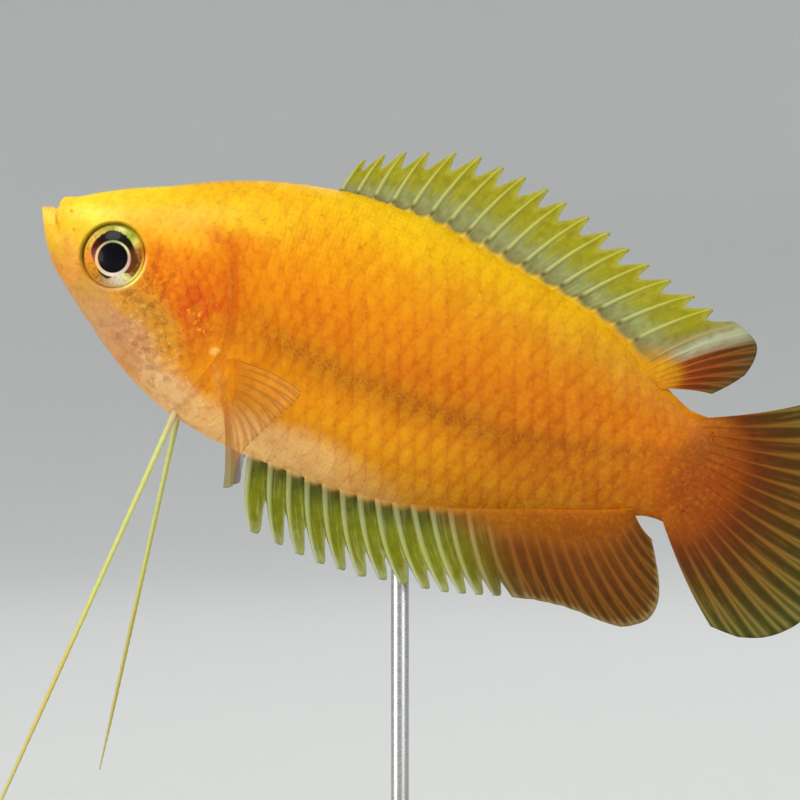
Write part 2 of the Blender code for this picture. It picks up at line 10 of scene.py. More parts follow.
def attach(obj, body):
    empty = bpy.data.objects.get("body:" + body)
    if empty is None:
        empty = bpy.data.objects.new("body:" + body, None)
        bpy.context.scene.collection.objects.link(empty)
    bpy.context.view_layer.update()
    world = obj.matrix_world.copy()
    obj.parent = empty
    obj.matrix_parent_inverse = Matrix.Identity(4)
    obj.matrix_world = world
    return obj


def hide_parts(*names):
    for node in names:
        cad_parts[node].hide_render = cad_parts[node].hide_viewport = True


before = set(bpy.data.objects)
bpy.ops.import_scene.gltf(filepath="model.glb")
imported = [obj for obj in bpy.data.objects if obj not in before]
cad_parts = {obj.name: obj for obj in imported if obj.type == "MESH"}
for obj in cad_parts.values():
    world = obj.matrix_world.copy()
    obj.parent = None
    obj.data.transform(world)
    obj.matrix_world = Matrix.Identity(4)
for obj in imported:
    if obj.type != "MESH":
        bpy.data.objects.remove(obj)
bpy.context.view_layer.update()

# The fish is shaped in millimetres in its own frame: x runs back from the lower jaw, y is sideways
# with the left flank at -y, and z is up the back. The pose then tips it head up over the floor.
pose = {
    "pitch": math.radians(22),
    "jaw": (-25.6, 0, 46.07),
    "mm": 0.001,
}
standToWorld = Matrix.Scale(pose["mm"], 4)
fishToWorld = (
    standToWorld
    @ Matrix.Translation(pose["jaw"])
    @ Matrix.Rotation(pose["pitch"], 4, "Y")
)

body = {
    "stations": (        # distance back, crown, keel, half width
        (-0.05, 0.14, -0.06, 0.12), (0.35, 0.3, -0.8, 0.62), (0.8, 0.47, -1.6, 0.92),
        (1.02, 1.18, -1.95, 1.04), (2, 1.72, -3.15, 1.42), (3.3, 2.55, -4.18, 1.85),
        (5, 3.5, -5.42, 2.32), (7.4, 4.64, -7.03, 2.8), (10, 6, -8.42, 3.25),
        (13, 7.25, -9.5, 3.55), (16.6, 8.25, -10.03, 3.7), (20, 8.85, -10.17, 3.62),
        (24, 8.97, -10.14, 3.4), (28, 8.56, -9.78, 3), (32, 8.02, -8.8, 2.5),
        (36, 7.45, -7.47, 1.95), (39, 6.6, -6.38, 1.5), (41, 5.55, -5.6, 1.25),
        (43.5, 4.33, -4.55, 1), (45.4, 3.72, -3.85, 0.78), (46.8, 3.74, -3.88, 0.46),
        (47.9, 3.88, -4.04, 0.2),
    ),
    "middleShare": 0.52, "sectionPower": 1.1, "stalkCut": 36, "stalkEnd": 47.2,
    "stalkEndRound": 1.4, "stalkEndHeight": 4, "bendRounds": 6,
}

gill = {
    "edge": ((-10, 11.9), (-7.5, 13.6), (-3.9, 14.58), (-0.9, 13.89), (3.3, 11.96), (7.5, 10.9)),
    "nominal": 12, "lift": 0.14, "reach": 3.4, "low": -8.6, "high": 3.2, "fade": 2.6,
    "roll": 0.06, "rollReach": 0.7,          # how far the cover's lip rolls in, over its last stretch
    "groove": 0.04, "grooveReach": 0.5, "stepReach": 0.4,
}


def smoothStep(value):
    value = min(max(value, 0), 1)
    return value * value * (3 - 2 * value)


def hump(value, width):
    return math.exp(-(value / width) ** 2)


def spanAt(places, place):
    # the span of a rising list that holds a place, and the place's share of it
    i = min(max(bisect.bisect_right(places, place) - 1, 0), len(places) - 2)
    return i, (place - places[i]) / (places[i + 1] - places[i])


def curveThrough(points):
    # a smooth curve through (place, value) points, which never overshoots them
    places, values = zip(*points)
    spans = [after - before for before, after in zip(places, places[1:])]
    chords = [(values[i + 1] - values[i]) / span for i, span in enumerate(spans)]
    slopes = [chords[0]]
    for before, after in zip(chords, chords[1:]):
        slopes.append(2 * before * after / (before + after) if before * after > 0 else 0)
    slopes.append(chords[-1])

    def valueAt(place):
        i, t = spanAt(places, place)
        t = min(max(t, 0), 1)
        start = values[i] * (1 + 2 * t) + slopes[i] * spans[i] * t
        end = values[i + 1] * (3 - 2 * t) - slopes[i + 1] * spans[i] * (1 - t)
        return start * (1 - t) ** 2 + end * t ** 2

    return valueAt


crown, keel, halfWidth = (
    curveThrough([(station[0], station[k]) for station in body["stations"]]) for k in (1, 2, 3)
)
gillEdge = curveThrough(gill["edge"])


def stalkEnd(z):
    return body["stalkEnd"] - body["stalkEndRound"] * (z / body["stalkEndHeight"]) ** 2


def middle(x):
    return keel(x) + body["middleShare"] * (crown(x) - keel(x))


def heightAt(x, up):
    centre = middle(x)
    return centre + up * (crown(x) - centre if up >= 0 else centre - keel(x))


def bodyPoint(station, angle):
    # angle 0 is the crown; stations bend with the gill cover's edge and with the end of the stalk
    start, cut, end = gill["nominal"], body["stalkCut"], body["stalkEnd"]
    edge, nominal = gillEdge, start
    if station < start:
        pull = max(station / start, 0) ** 3
    elif station < cut:
        pull = (1 - (station - start) / (cut - start)) ** 3
    else:
        pull = ((station - cut) / (end - cut)) ** 3
        edge, nominal = stalkEnd, end
    up = math.cos(angle)
    out = math.sin(angle)
    x = station
    for _ in range(body["bendRounds"]):
        x = station + pull * (edge(heightAt(x, up)) - nominal)
    y = math.copysign(halfWidth(x) * abs(out) ** body["sectionPower"], out)
    return Vector((x, y, heightAt(x, up)))


def flank(x, z):
    centre = middle(x)
    height = crown(x) - centre if z >= centre else centre - keel(x)
    up = min(abs(z - centre) / height, 1)
    return halfWidth(x) * (1 - up * up) ** (body["sectionPower"] / 2)


def flankPoint(x, z, side, out=0):
    return Vector((x, side * (flank(x, z) + out), z))


def flankNormal(x, z, side):
    step = 0.2
    along = (flank(x + step, z) - flank(x - step, z)) / (2 * step)
    above = (flank(x, z + step) - flank(x, z - step)) / (2 * step)
    return Vector((-along, side, -above)).normalized()


def madeVerts(result):
    return [item for item in result["geom"] if isinstance(item, bmesh.types.BMVert)]


def meshFrom(name, bm):
    mesh = bpy.data.meshes.new(name)
    bm.to_mesh(mesh)
    bm.free()
    return mesh


def addObject(name, data):
    item = bpy.data.objects.new(name, data)
    bpy.context.scene.collection.objects.link(item)
    return item


def finishPiece(name, bm, material, place, nodes, sharp=None, loose=False):
    # every piece ends at the origin with its place in its mesh, and rides on the one body
    bmesh.ops.transform(bm, matrix=place, verts=bm.verts)
    bm.normal_update()
    if not loose:
        bmesh.ops.recalc_face_normals(bm, faces=bm.faces)
    if bm.calc_volume(signed=True) < 0:      # thin slabs can come out inside out
        bmesh.ops.reverse_faces(bm, faces=bm.faces)
    mesh = meshFrom(name, bm)
    mesh.shade_smooth()
    if sharp:
        mesh.set_sharp_from_angle(angle=math.radians(sharp))
    mesh.materials.append(material)
    piece = addObject(name, mesh)
    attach(piece, "root")
    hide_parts(*nodes)


# Shader helpers


def srgb(*levels):
    linear = []
    for level in levels:
        share = level / 255
        linear.append(share / 12.92 if share <= 0.04045 else ((share + 0.055) / 1.055) ** 2.4)
    return (*linear, 1)


def setInputs(node, values):
    for key, value in values.items():
        if isinstance(value, bpy.types.NodeSocket):
            node.id_data.links.new(value, node.inputs[key])
        else:
            node.inputs[key].default_value = value


def addNode(tree, kind, values=None, **settings):
    node = tree.nodes.new("ShaderNode" + kind)
    for key, value in settings.items():
        setattr(node, key, value)
    setInputs(node, values or {})
    return node


def treeOf(*values):
    return next(value.id_data for value in values if isinstance(value, bpy.types.NodeSocket))


def maths(operation, *values):
    node = addNode(treeOf(*values), "Math", dict(enumerate(values)), operation=operation)
    return node.outputs[0]


def times(first, second):
    return maths("MULTIPLY", first, second)


def plus(first, second):
    return maths("ADD", first, second)


def minus(first, second):
    return maths("SUBTRACT", first, second)


def gap(first, second):
    return maths("ABSOLUTE", minus(first, second))


def fade(value, low, high, lowOut=0, highOut=1, kind="SMOOTHSTEP"):
    # a step from low to high, whichever is larger
    if low > high:
        low, high, lowOut, highOut = high, low, highOut, lowOut
    values = {0: value, "From Min": low, "From Max": high, "To Min": lowOut, "To Max": highOut}
    return addNode(value.id_data, "MapRange", values, interpolation_type=kind).outputs[0]


def mix(factor, first, second, blend="MIX"):
    values = {0: factor, 6: first, 7: second}
    node = addNode(treeOf(factor, first), "Mix", values, data_type="RGBA", blend_type=blend)
    return node.outputs[2]


def deepened(colour, *tint):
    return mix(1, colour, srgb(*tint), "MULTIPLY")


def ramp(factor, stops):
    node = addNode(factor.id_data, "ValToRGB", {0: factor})
    elements = node.color_ramp.elements
    while len(elements) < len(stops):
        elements.new(0.5)
    for element, (place, colour) in zip(elements, stops):
        element.position = place
        element.color = colour
    return node.outputs[0]


def lengthRamp(value, stops):
    # a ramp whose stops are given in the value's own unit
    low, high = stops[0][0], stops[-1][0]
    shares = [((place - low) / (high - low), srgb(*colour)) for place, *colour in stops]
    return ramp(fade(value, low, high, kind="LINEAR"), shares)


def noiseAt(vector, scale, detail=2, roughness=0.5):
    values = {"Vector": vector, "Scale": scale, "Detail": detail, "Roughness": roughness}
    return addNode(vector.id_data, "TexNoise", values).outputs[0]


def axesOf(vector):
    return list(addNode(vector.id_data, "SeparateXYZ", {0: vector}).outputs)


def joined(x, y):
    return addNode(treeOf(x, y), "CombineXYZ", {0: x, 1: y}).outputs[0]


def lengthOf(vector):
    return addNode(vector.id_data, "VectorMath", {0: vector}, operation="LENGTH").outputs["Value"]


def redOf(colour):
    return addNode(colour.id_data, "SeparateColor", {0: colour}).outputs[0]


def attributeOf(tree, name):
    return addNode(tree, "Attribute", attribute_name=name).outputs["Fac"]


def objectPlace(tree):
    return addNode(tree, "TexCoord").outputs["Object"]


def mapped(vector, location, turn, scale, kind="TEXTURE"):
    values = {0: vector, "Location": location, "Rotation": (0, turn, 0), "Scale": scale}
    return addNode(vector.id_data, "Mapping", values, vector_type=kind).outputs[0]


def stretched(vector, *scale):
    return mapped(vector, (0, 0, 0), 0, scale, "POINT")


def bumpOf(strength, distance, height):
    values = {"Strength": strength, "Distance": distance, "Height": height}
    return addNode(height.id_data, "Bump", values).outputs[0]


def polarAt(place, centre):
    # distance from a centre and turn about it, seen from the side; turn 0 lies towards the tail
    centre = (centre[0], 0, centre[1])
    x, _, z = axesOf(mapped(place, centre, -pose["pitch"], (1, 1, 1)))
    return lengthOf(joined(x, z)), maths("ARCTAN2", z, x)


def turnRamp(turn, stops):
    # colours round a circle, by degrees from -180 to 180
    shares = [((degrees + 180) / 360, srgb(*colour)) for degrees, *colour in stops]
    return ramp(fade(turn, -math.pi, math.pi, kind="LINEAR"), shares)


def turnValue(turn, stops):
    shares = [((degrees + 180) / 360, (value, value, value, 1)) for degrees, value in stops]
    return redOf(ramp(fade(turn, -math.pi, math.pi, kind="LINEAR"), shares))


def newMaterial(name, **values):
    # constants are set on the shader's own sockets
    material = bpy.data.materials.new(name)
    material.use_nodes = True
    shader = material.node_tree.nodes["Principled BSDF"]
    setInputs(shader, {key.replace("_", " "): value for key, value in values.items()})
    return material, material.node_tree, shader


def fishPlace(tree):
    # Object coordinates turned back into the fish's own frame, in millimetres
    jaw = Vector(pose["jaw"]) * pose["mm"]
    return mapped(objectPlace(tree), jaw, pose["pitch"], (pose["mm"],) * 3)


# Markings that the skin and its scales share

markings = {
    "flank": (      # up the side behind the gill cover
        # The lowest stop is the belly's own peach painted lighter than it is: painted light that
        # makes up for the shade under the body.
        (-10.2, 240, 192, 112), (-8.6, 226, 154, 48), (-7.2, 228, 142, 12),
        (-5.2, 242, 150, 6), (-3, 208, 116, 1), (-0.5, 220, 118, 1), (2.5, 232, 136, 2),
        (5, 236, 158, 2), (7, 240, 184, 4), (9, 240, 196, 10),
    ),
    # The stalk's colours run darker towards the tail: partly the fish's own orange-brown, partly
    # painted shade.
    "stalk": (      # up the tail stalk
        (-6.5, 150, 76, 3), (-4, 176, 94, 1), (-1, 188, 96, 1), (1, 204, 104, 1),
        (3.5, 204, 120, 2), (5, 206, 140, 3), (7.5, 226, 170, 6),
    ),
    "head": (       # up the face in front of the eye
        (-6.5, 204, 156, 112), (-4.6, 204, 148, 84), (-3, 206, 152, 58),
        (-1.4, 236, 182, 34), (0.2, 244, 202, 38), (2, 244, 214, 44), (4.5, 242, 212, 22),
    ),
    "patches": (    # place, half lengths and turn in side view, colour, strength
        ((0.3, -0.1), (1.5, 0.8), 20, (250, 214, 96), 0.6),  # lower lip
        ((0.75, 0.42), (0.6, 0.16), 20, (222, 140, 96), 0.75),  # pink of the gape
        ((1.46, -0.63), (0.85, 0.1), -59, (186, 132, 22), 0.45),
        ((2.35, -1.5), (0.32, 0.5), 10, (222, 150, 10), 0.6),  # pit beside the mouth
        ((3, -3), (2.2, 1.2), 35, (232, 150, 60), 0.6),  # under the nostrils
        ((4.2, 0.9), (2.6, 1), 8, (255, 238, 80), 0.5),
        ((8.6, 1.4), (4.4, 2.2), -6, (252, 176, 12), 0.75),  # behind the eye
        ((12.4, 4.6), (4.8, 1.7), 8, (240, 202, 14), 0.65),  # yellow nape
        ((10.4, -0.9), (4.2, 2.1), -14, (228, 112, 2), 0.9),  # temple
        ((12.3, -0.6), (2.6, 3.6), -10, (214, 92, 1), 0.55),  # upper gill cover
        ((12.2, -2.4), (1.5, 1.7), -20, (202, 70, 6), 0.7),  # red of the gill cover
        ((13, -4.6), (1.5, 1.5), -20, (196, 84, 6), 0.6),
        ((7.2, -3.6), (2, 0.8), -28, (222, 150, 18), 0.7),  # golden skin under the eye
        ((10.2, -4.4), (3.2, 1.4), -30, (184, 126, 38), 0.65),  # olive cheek
        ((9, -6.2), (4, 1.5), -32, (194, 144, 102), 0.8),  # throat
        ((13, -8.3), (3.6, 1.5), -22, (232, 186, 128), 0.85),  # breast
        # Belly: its own peach painted lighter than it is, as painted light that makes up for the
        # shade under the body.
        ((19.4, -9.2), (7.5, 2.2), 3, (250, 198, 128), 0.92),  # belly
        ((15.3, -6.4), (1.6, 0.3), 112, (196, 140, 90), 0.4),  # bar before the pectoral fin
        ((16.1, -7.2), (3, 0.4), 112, (206, 116, 24), 0.85),  # bar of its root
        ((14.4, -4.7), (0.4, 0.32), 20, (255, 196, 96), 0.7),  # pale spot over it
        # Root of the tail fin: its dark brown is partly its own colour, partly painted shade.
        ((47.8, 0), (3, 5.4), 0, (150, 66, 1), 0.85),  # root of the tail fin
        ((13.2, -1), (1.3, 0.18), 112, (206, 84, 2), 0.45),  # dark lines of the gill cover
        ((14, -0.8), (1.3, 0.18), 112, (196, 80, 0), 0.45),
    ),
    "mottles": (    # as patches, with the size of their spots and how thick they lie
        ((10.6, -1.6), (3.8, 1.7), -24, (186, 80, 6), 0.65, 1.9, 0.5),
        ((9, -2), (1.5, 1), -24, (176, 84, 6), 0.7, 2.6, 0.46),
        ((12.6, -2.7), (1.8, 2.4), -20, (204, 58, 12), 0.75, 2.1, 0.48),
        ((12.4, -3.2), (1.6, 1.2), -20, (248, 164, 40), 0.75, 2.7, 0.56),
        ((9.9, -4.4), (3.9, 1.7), -32, (138, 84, 18), 0.6, 1.7, 0.51),
        ((9.4, -4.7), (4.2, 1.9), -32, (226, 180, 98), 0.6, 2.1, 0.54),
        ((10.2, -6.5), (4.6, 1.6), -34, (166, 112, 88), 0.5, 1.3, 0.5),
        ((11.6, -6.9), (4.6, 1.5), -30, (238, 196, 138), 0.55, 1.6, 0.52),
        ((3.4, -2.4), (1.9, 1.1), 30, (168, 96, 24), 0.45, 2.6, 0.55),
    ),
    "freckle": (122, 62, 10),
    "lateral": (26.8, -2.9, 0.011),  # lowest place of the lateral line, and how it rises
}


eye = {
    "x": 5.71, "z": -1.14, "radius": 2.1, "halfDepth": 1.05, "sink": 0.35, "socket": 1.2,
    "rim": 0.05, "pupil": (5.79, -1.29), "pupilEdge": (1.04, 0.97),
    "iris": (       # colours by degrees round the pupil, from the rear upwards
        # The pale stops from about -112 to -55 degrees, low on the eye, and the one at 74 degrees are
        # painted highlights and painted reflections.
        (-180, 226, 134, 34), (-155, 214, 136, 26), (-130, 180, 118, 20),
        (-112, 190, 146, 100), (-95, 218, 186, 150), (-75, 232, 224, 196),
        (-55, 250, 242, 160), (-40, 150, 92, 20), (-18, 122, 66, 12), (2, 146, 84, 18),
        (20, 190, 124, 30), (34, 236, 218, 112), (48, 140, 164, 48), (62, 190, 190, 84),
        (74, 244, 230, 150), (90, 168, 158, 60), (112, 188, 160, 66), (130, 212, 176, 80),
        (155, 216, 164, 58), (170, 224, 146, 40), (180, 226, 134, 34),
    ),
    "bandReach": (  # how far the dark band reaches, in millimetres past the pupil's edge
        (-180, 0.36), (-160, 0.1), (-138, 0.3), (-105, 0.42), (-86, 0.14), (-56, 0.16),
        (-44, 0.46), (-10, 0.66), (18, 0.52), (45, 0.6), (70, 0.72), (92, 0.8), (120, 0.68),
        (150, 0.6), (170, 0.48), (180, 0.36),
    ),
    "band": (
        # Its near-black greenish stops low down, about -138 to -105 degrees, are painted shade.
        (-180, 150, 62, 18), (-138, 60, 50, 20), (-105, 30, 36, 24), (-60, 96, 60, 22),
        (-25, 108, 56, 10), (10, 88, 44, 10), (32, 38, 22, 8), (60, 20, 20, 8),
        (92, 12, 16, 6), (120, 26, 12, 8), (148, 74, 16, 10), (168, 104, 30, 12),
        (180, 150, 62, 18),
    ),
    "ring": (
        (-180, 244, 180, 124), (-135, 232, 190, 140), (-92, 232, 224, 210),
        (-50, 226, 196, 176), (0, 210, 164, 150), (35, 220, 212, 150), (70, 168, 176, 120),
        (100, 136, 146, 112), (135, 206, 168, 126), (180, 244, 180, 124),
    ),
    "edge": (
        # The cream stops from -70 to -30 degrees are a painted highlight along the eye's lower rear
        # rim; the dark olive stops over the top and front are partly the rim's own colour, partly
        # painted shadow of the gap round the eye.
        (-180, 124, 100, 14), (-150, 196, 136, 26), (-120, 210, 150, 54),
        (-95, 222, 174, 112), (-70, 242, 224, 156), (-50, 255, 248, 150),
        (-30, 254, 230, 110), (-8, 242, 184, 80), (6, 204, 124, 20), (30, 206, 166, 34),
        (55, 142, 142, 22), (80, 112, 104, 10), (110, 118, 102, 12), (150, 138, 112, 14),
        (180, 124, 100, 14),
    ),
}


def ellipseMask(place, centre, halves, turn):
    # 1 at the centre of an ellipse in side view, falling to 0 at its edge
    turn = math.radians(-turn)
    flat = mapped(place, (centre[0], 0, centre[1]), turn, (halves[0], 1000, halves[1]))
    return fade(lengthOf(flat), 1.25, 0.35)


def makeMarkings():
    tree = bpy.data.node_groups.new("fishMarkings", "ShaderNodeTree")
    tree.interface.new_socket("Place", in_out="INPUT", socket_type="NodeSocketVector")
    tree.interface.new_socket("Colour", in_out="OUTPUT", socket_type="NodeSocketColor")
    tree.interface.new_socket("Head", in_out="OUTPUT", socket_type="NodeSocketFloat")
    given = tree.nodes.new("NodeGroupInput").outputs["Place"]
    out = tree.nodes.new("NodeGroupOutput")
    wobble = addNode(tree, "TexNoise", {"Vector": given, "Scale": 0.35, "Detail": 3}).outputs["Color"]
    values = {0: wobble, 1: (0.5, 0.5, 0.5)}
    shift = addNode(tree, "VectorMath", values, operation="SUBTRACT").outputs[0]
    values = {0: shift, 1: (1.9, 0, 1.9), 2: given}
    place = addNode(tree, "VectorMath", values, operation="MULTIPLY_ADD").outputs[0]
    x, _, z = axesOf(place)
    colour = mix(fade(x, 20, 45), lengthRamp(z, markings["flank"]), lengthRamp(z, markings["stalk"]))
    head = fade(x, 11.5, 5.5)
    colour = mix(head, colour, lengthRamp(z, markings["head"]))
    for centre, halves, turn, tint, strength in markings["patches"]:
        mask = ellipseMask(place, centre, halves, turn)
        colour = mix(times(mask, strength), colour, srgb(*tint))
    for centre, halves, turn, tint, strength, size, level in markings["mottles"]:
        mask = ellipseMask(given, centre, halves, turn)
        spots = times(fade(noiseAt(given, size, 3, 0.6), level, level + 0.12), strength)
        colour = mix(times(mask, spots), colour, srgb(*tint))
    # Round the eye the skin takes the eye's edge colours: partly its own dark rim, partly painted
    # shadow of the gap round the eye, with a painted highlight in the cream crescent low at the rear.
    away, turn = polarAt(given, (eye["x"], eye["z"]))
    lidShadeAndGlint = times(fade(away, 2.42, 2.18), fade(away, 1.8, 2))
    colour = mix(times(lidShadeAndGlint, 0.85), colour, turnRamp(turn, eye["edge"]))

    # fine pepper and blotches of pigment, and freckles thicker on the nape and the lateral line
    pepper = noiseAt(given, 3.1, 3, 0.65)
    deeper = deepened(colour, 228, 196, 150)
    lighter = mix(0.3, colour, srgb(255, 206, 24))
    colour = mix(fade(pepper, 0.5, 0.7, 0, 0.42), colour, deeper)
    colour = mix(fade(pepper, 0.5, 0.34, 0, 0.35), colour, lighter)
    colour = mix(fade(noiseAt(given, 1.1, 3, 0.6), 0.4, 0.7, 0, 0.3), colour, deeper)
    lowest, level, rise = markings["lateral"]
    offset = minus(x, lowest)
    apart = gap(z, maths("MULTIPLY_ADD", times(offset, offset), rise, level))
    along = fade(x, 14, 19)
    colour = mix(times(fade(apart, 1.2, 0.2, 0, 0.25), along), colour, srgb(150, 84, 6))
    lateral = times(fade(apart, 0.85, 0.1), along)
    dots = addNode(tree, "TexVoronoi", {"Vector": given, "Scale": 4.6}).outputs["Distance"]
    dot = fade(dots, 0.5, 0.16)
    patchy = fade(noiseAt(given, 0.5), 0.5, 0.75, 0, 0.7)
    nape = times(fade(z, 1, 6), fade(x, 26, 9))
    cheek = times(fade(z, -1.5, -4), fade(x, 14, 11))
    where = maths("MAXIMUM", times(times(nape, 0.5), patchy), lateral)
    freckles = times(dot, maths("MAXIMUM", where, times(cheek, patchy)))
    colour = mix(times(freckles, 0.6), colour, srgb(*markings["freckle"]))
    setInputs(out, {"Colour": colour, "Head": head})
    return tree


fishMarkings = makeMarkings()


def marked(tree):
    place = fishPlace(tree)
    return place, addNode(tree, "Group", {"Place": place}, node_tree=fishMarkings).outputs


# Skin: one closed piece from the lips to the root of the tail fin

skin = {
    "around": 240,
    "bands": ((-0.05, 2, 0.032), (2, 11.7, 0.078), (11.7, 12.3, 0.035), (12.3, 14.6, 0.11),
              (14.6, 47.9, 0.27)),  # start, end and ring spacing
    "poleReach": 0.04, "mouthX": 0.8, "mouthReach": 0.65, "mouthBend": 2.2, "mouthDepth": 0.09,
    "mouthCorner": math.radians(105), "mouthLine": 0.075, "mouthEnd": 3.2, "lip": 0.05,
    "lipAway": 0.26, "lipWidth": 0.15, "nostrils": ((1.97, 0.6, 0.13), (2.6, -0.55, 0.12)),
    "nostrilRim": 0.03, "nostrilDepth": 0.16, "faceEnd": 12, "reliefEnd": 14,
    "cheek": (5.2, -1.3), "cheekRadius": 4.75, "cheekWidth": 0.22, "cheekDepth": 0.07,
}


def gillFade(z):
    rising = smoothStep((z - gill["low"]) / gill["fade"])
    return rising * smoothStep((gill["high"] - z) / gill["fade"])


def gillRelief(station, z):
    behind = station - gill["nominal"]
    if behind > 0:
        step = gill["lift"] - gill["roll"] + gill["groove"]
        rise = step * (1 - smoothStep(behind / gill["stepReach"]))
        return (rise - gill["groove"] * hump(behind, gill["grooveReach"])) * gillFade(z)
    rise = gill["lift"] * smoothStep(1 + behind / gill["reach"])
    rise -= gill["roll"] * smoothStep(1 + behind / gill["rollReach"])
    return rise * gillFade(z)


def mouthRelief(station, angle):
    share = abs(angle) / skin["mouthCorner"]
    line = skin["mouthX"] + skin["mouthReach"] * share ** skin["mouthBend"]
    behind = station - line
    lips = skin["lip"] * hump(abs(behind) - skin["lipAway"], skin["lipWidth"])
    line = skin["mouthDepth"] * hump(behind, skin["mouthLine"])
    return (lips - line) * smoothStep((1.12 - share) / 0.3)


def nostrilRelief(x, z):
    relief = 0
    for centreX, centreZ, radius in skin["nostrils"]:
        away = math.hypot(x - centreX, z - centreZ)
        relief += skin["nostrilRim"] * hump(away - radius - 0.06, 0.08)
        relief -= skin["nostrilDepth"] * smoothStep(1.3 - away / radius)
    return relief


def eyeRelief(x, z):
    away = math.hypot(x - eye["x"], z - eye["z"]) / eye["radius"]
    bowl = -eye["socket"] * smoothStep((1.018 - away) / 0.09)
    return bowl + eye["rim"] * hump(away - 1.13, 0.07)


def cheekRelief(x, z):
    # the shallow fold of the preopercle, bent round behind the eye
    x -= skin["cheek"][0]
    z -= skin["cheek"][1]
    turn = math.degrees(math.atan2(z, x))
    reach = smoothStep((turn + 118) / 35) * smoothStep((28 - turn) / 30)
    fold = hump(math.hypot(x, z) - skin["cheekRadius"], skin["cheekWidth"])
    return -skin["cheekDepth"] * fold * reach


def skinRelief(station, angle, x, z):
    relief = gillRelief(station, z)
    if station < skin["mouthEnd"]:
        relief += mouthRelief(station, angle)
    if station < skin["faceEnd"]:
        relief += nostrilRelief(x, z) + eyeRelief(x, z) + cheekRelief(x, z)
    return relief


def ringStations():
    stations = []
    for start, end, step in skin["bands"]:
        count = round((end - start) / step)
        stations += [start + (end - start) * k / count for k in range(count)]
    return stations + [end]


skinGrid = {}        # the skin's own points and normals, ring by ring, for what is laid over it


def keepGrid(bm, places, stations):
    around = skin["around"]
    bm.normal_update()
    rings = {station: [None] * around for station in stations}
    for vert, (station, angle) in places.items():
        rings[station][round(angle * around / (2 * math.pi)) % around] = (
            vert.co.copy(), vert.normal.copy()
        )
    skinGrid["stations"] = stations
    skinGrid["rings"] = [rings[station] for station in stations]


def onSkin(station, angle):
    # a point of the finished skin, and its normal
    i, along = spanAt(skinGrid["stations"], station)
    along = min(max(along, 0), 1)
    around = skin["around"]
    k, share = divmod(angle * around / (2 * math.pi), 1)
    k = int(k)
    corners = []
    for ring in skinGrid["rings"][i:i + 2]:
        first, second = ring[k % around], ring[(k + 1) % around]
        corners.append([start.lerp(end, share) for start, end in zip(first, second)])
    point, normal = (start.lerp(end, along) for start, end in zip(*corners))
    return point, normal.normalized()


def makeSkin(material):
    stations = ringStations()
    segments = len(stations) + 1
    bm = bmesh.new()
    bmesh.ops.create_uvsphere(bm, u_segments=skin["around"], v_segments=segments, radius=1)
    places = {}
    for vert in bm.verts:
        ring = round(math.acos(min(max(vert.co.z, -1), 1)) * segments / math.pi)
        if ring in (0, segments):
            station, reach = (stations[-1], 1) if ring else (stations[0], -1)
            vert.co = (station + reach * skin["poleReach"], 0, middle(station))
            continue
        places[vert] = (stations[ring - 1], math.atan2(vert.co.x, vert.co.y))
        vert.co = bodyPoint(*places[vert])
    bm.normal_update()
    bmesh.ops.recalc_face_normals(bm, faces=bm.faces)
    bm.normal_update()
    moves = []
    for vert, (station, angle) in places.items():
        if station < skin["reliefEnd"]:
            moves.append((vert, vert.normal * skinRelief(station, angle, vert.co.x, vert.co.z)))
    for vert, move in moves:
        vert.co += move
    keepGrid(bm, places, stations)
    finishPiece("fishSkin", bm, material, fishToWorld, ("head", "trunk", "tail_stalk"))


def skinMaterial():
    material, tree, shader = newMaterial(
        "fishSkin", Roughness=0.34, Subsurface_Weight=0.1, Subsurface_Scale=0.0006,
        Subsurface_Radius=(1, 0.4, 0.15), Coat_Roughness=0.18, Specular_IOR_Level=0.12,
    )
    place, marks = marked(tree)
    grain = noiseAt(place, 6, 3, 0.6)
    coarse = noiseAt(place, 1.6)
    setInputs(shader, {
        "Base Color": marks["Colour"],
        "Roughness": fade(coarse, 0.3, 0.7, 0.32, 0.5),
        "Coat Weight": fade(grain, 0.35, 0.7, 0.02, 0.12),
        "Normal": bumpOf(0.35, 0.00006, plus(grain, times(coarse, 0.8))),
    })
    return material


# Scales: overlapping plates in staggered rows, smaller towards the face and the tail

scales = {
    "pitch": ((3, 0.42), (6, 0.5), (9, 0.64), (12, 0.86), (15, 1.18), (38, 1.17), (44, 1),
              (47.6, 0.7)),
    "rows": ((3, 0.38), (6, 0.48), (9, 0.66), (12, 0.92), (15, 1.42), (30, 1.5), (38, 1.3),
             (44, 1.06), (47.6, 0.7)),
    "lift": ((3, 0.006), (8, 0.011), (12, 0.022), (15, 0.05), (38, 0.045), (43, 0.022),
             (45.8, 0.004)),
    "first": 3.2, "last": 45.7, "patch": 0.003, "seed": 11,
    "length": 1.55,      # of a scale, in pitches
    "height": 1.12,      # half height of a scale, in row spacings
}
pitchAt = curveThrough(scales["pitch"])
rowAt = curveThrough(scales["rows"])
liftAt = curveThrough(scales["lift"])
arcTables = {}


def arcTable(key):
    # distance round one side at station key / 2, from the middle of the flank up and down
    if key not in arcTables:
        steps = 72
        station = key / 2
        points = [bodyPoint(station, math.pi * k / steps) for k in range(steps + 1)]
        lengths = [0]
        for before, after in zip(points, points[1:]):
            lengths.append(lengths[-1] + (after - before).length)
        half = lengths[steps // 2]
        arcTables[key] = [half - length for length in lengths][::-1]
    return arcTables[key]


def angleFrom(table, arc):
    i, share = spanAt(table, arc)
    return math.pi * (1 - (i + share) / (len(table) - 1))


def angleAt(station, arc):
    key = math.floor(station * 2)
    share = station * 2 - key
    low = angleFrom(arcTable(key), arc)
    return low + share * (angleFrom(arcTable(key + 1), arc) - low)


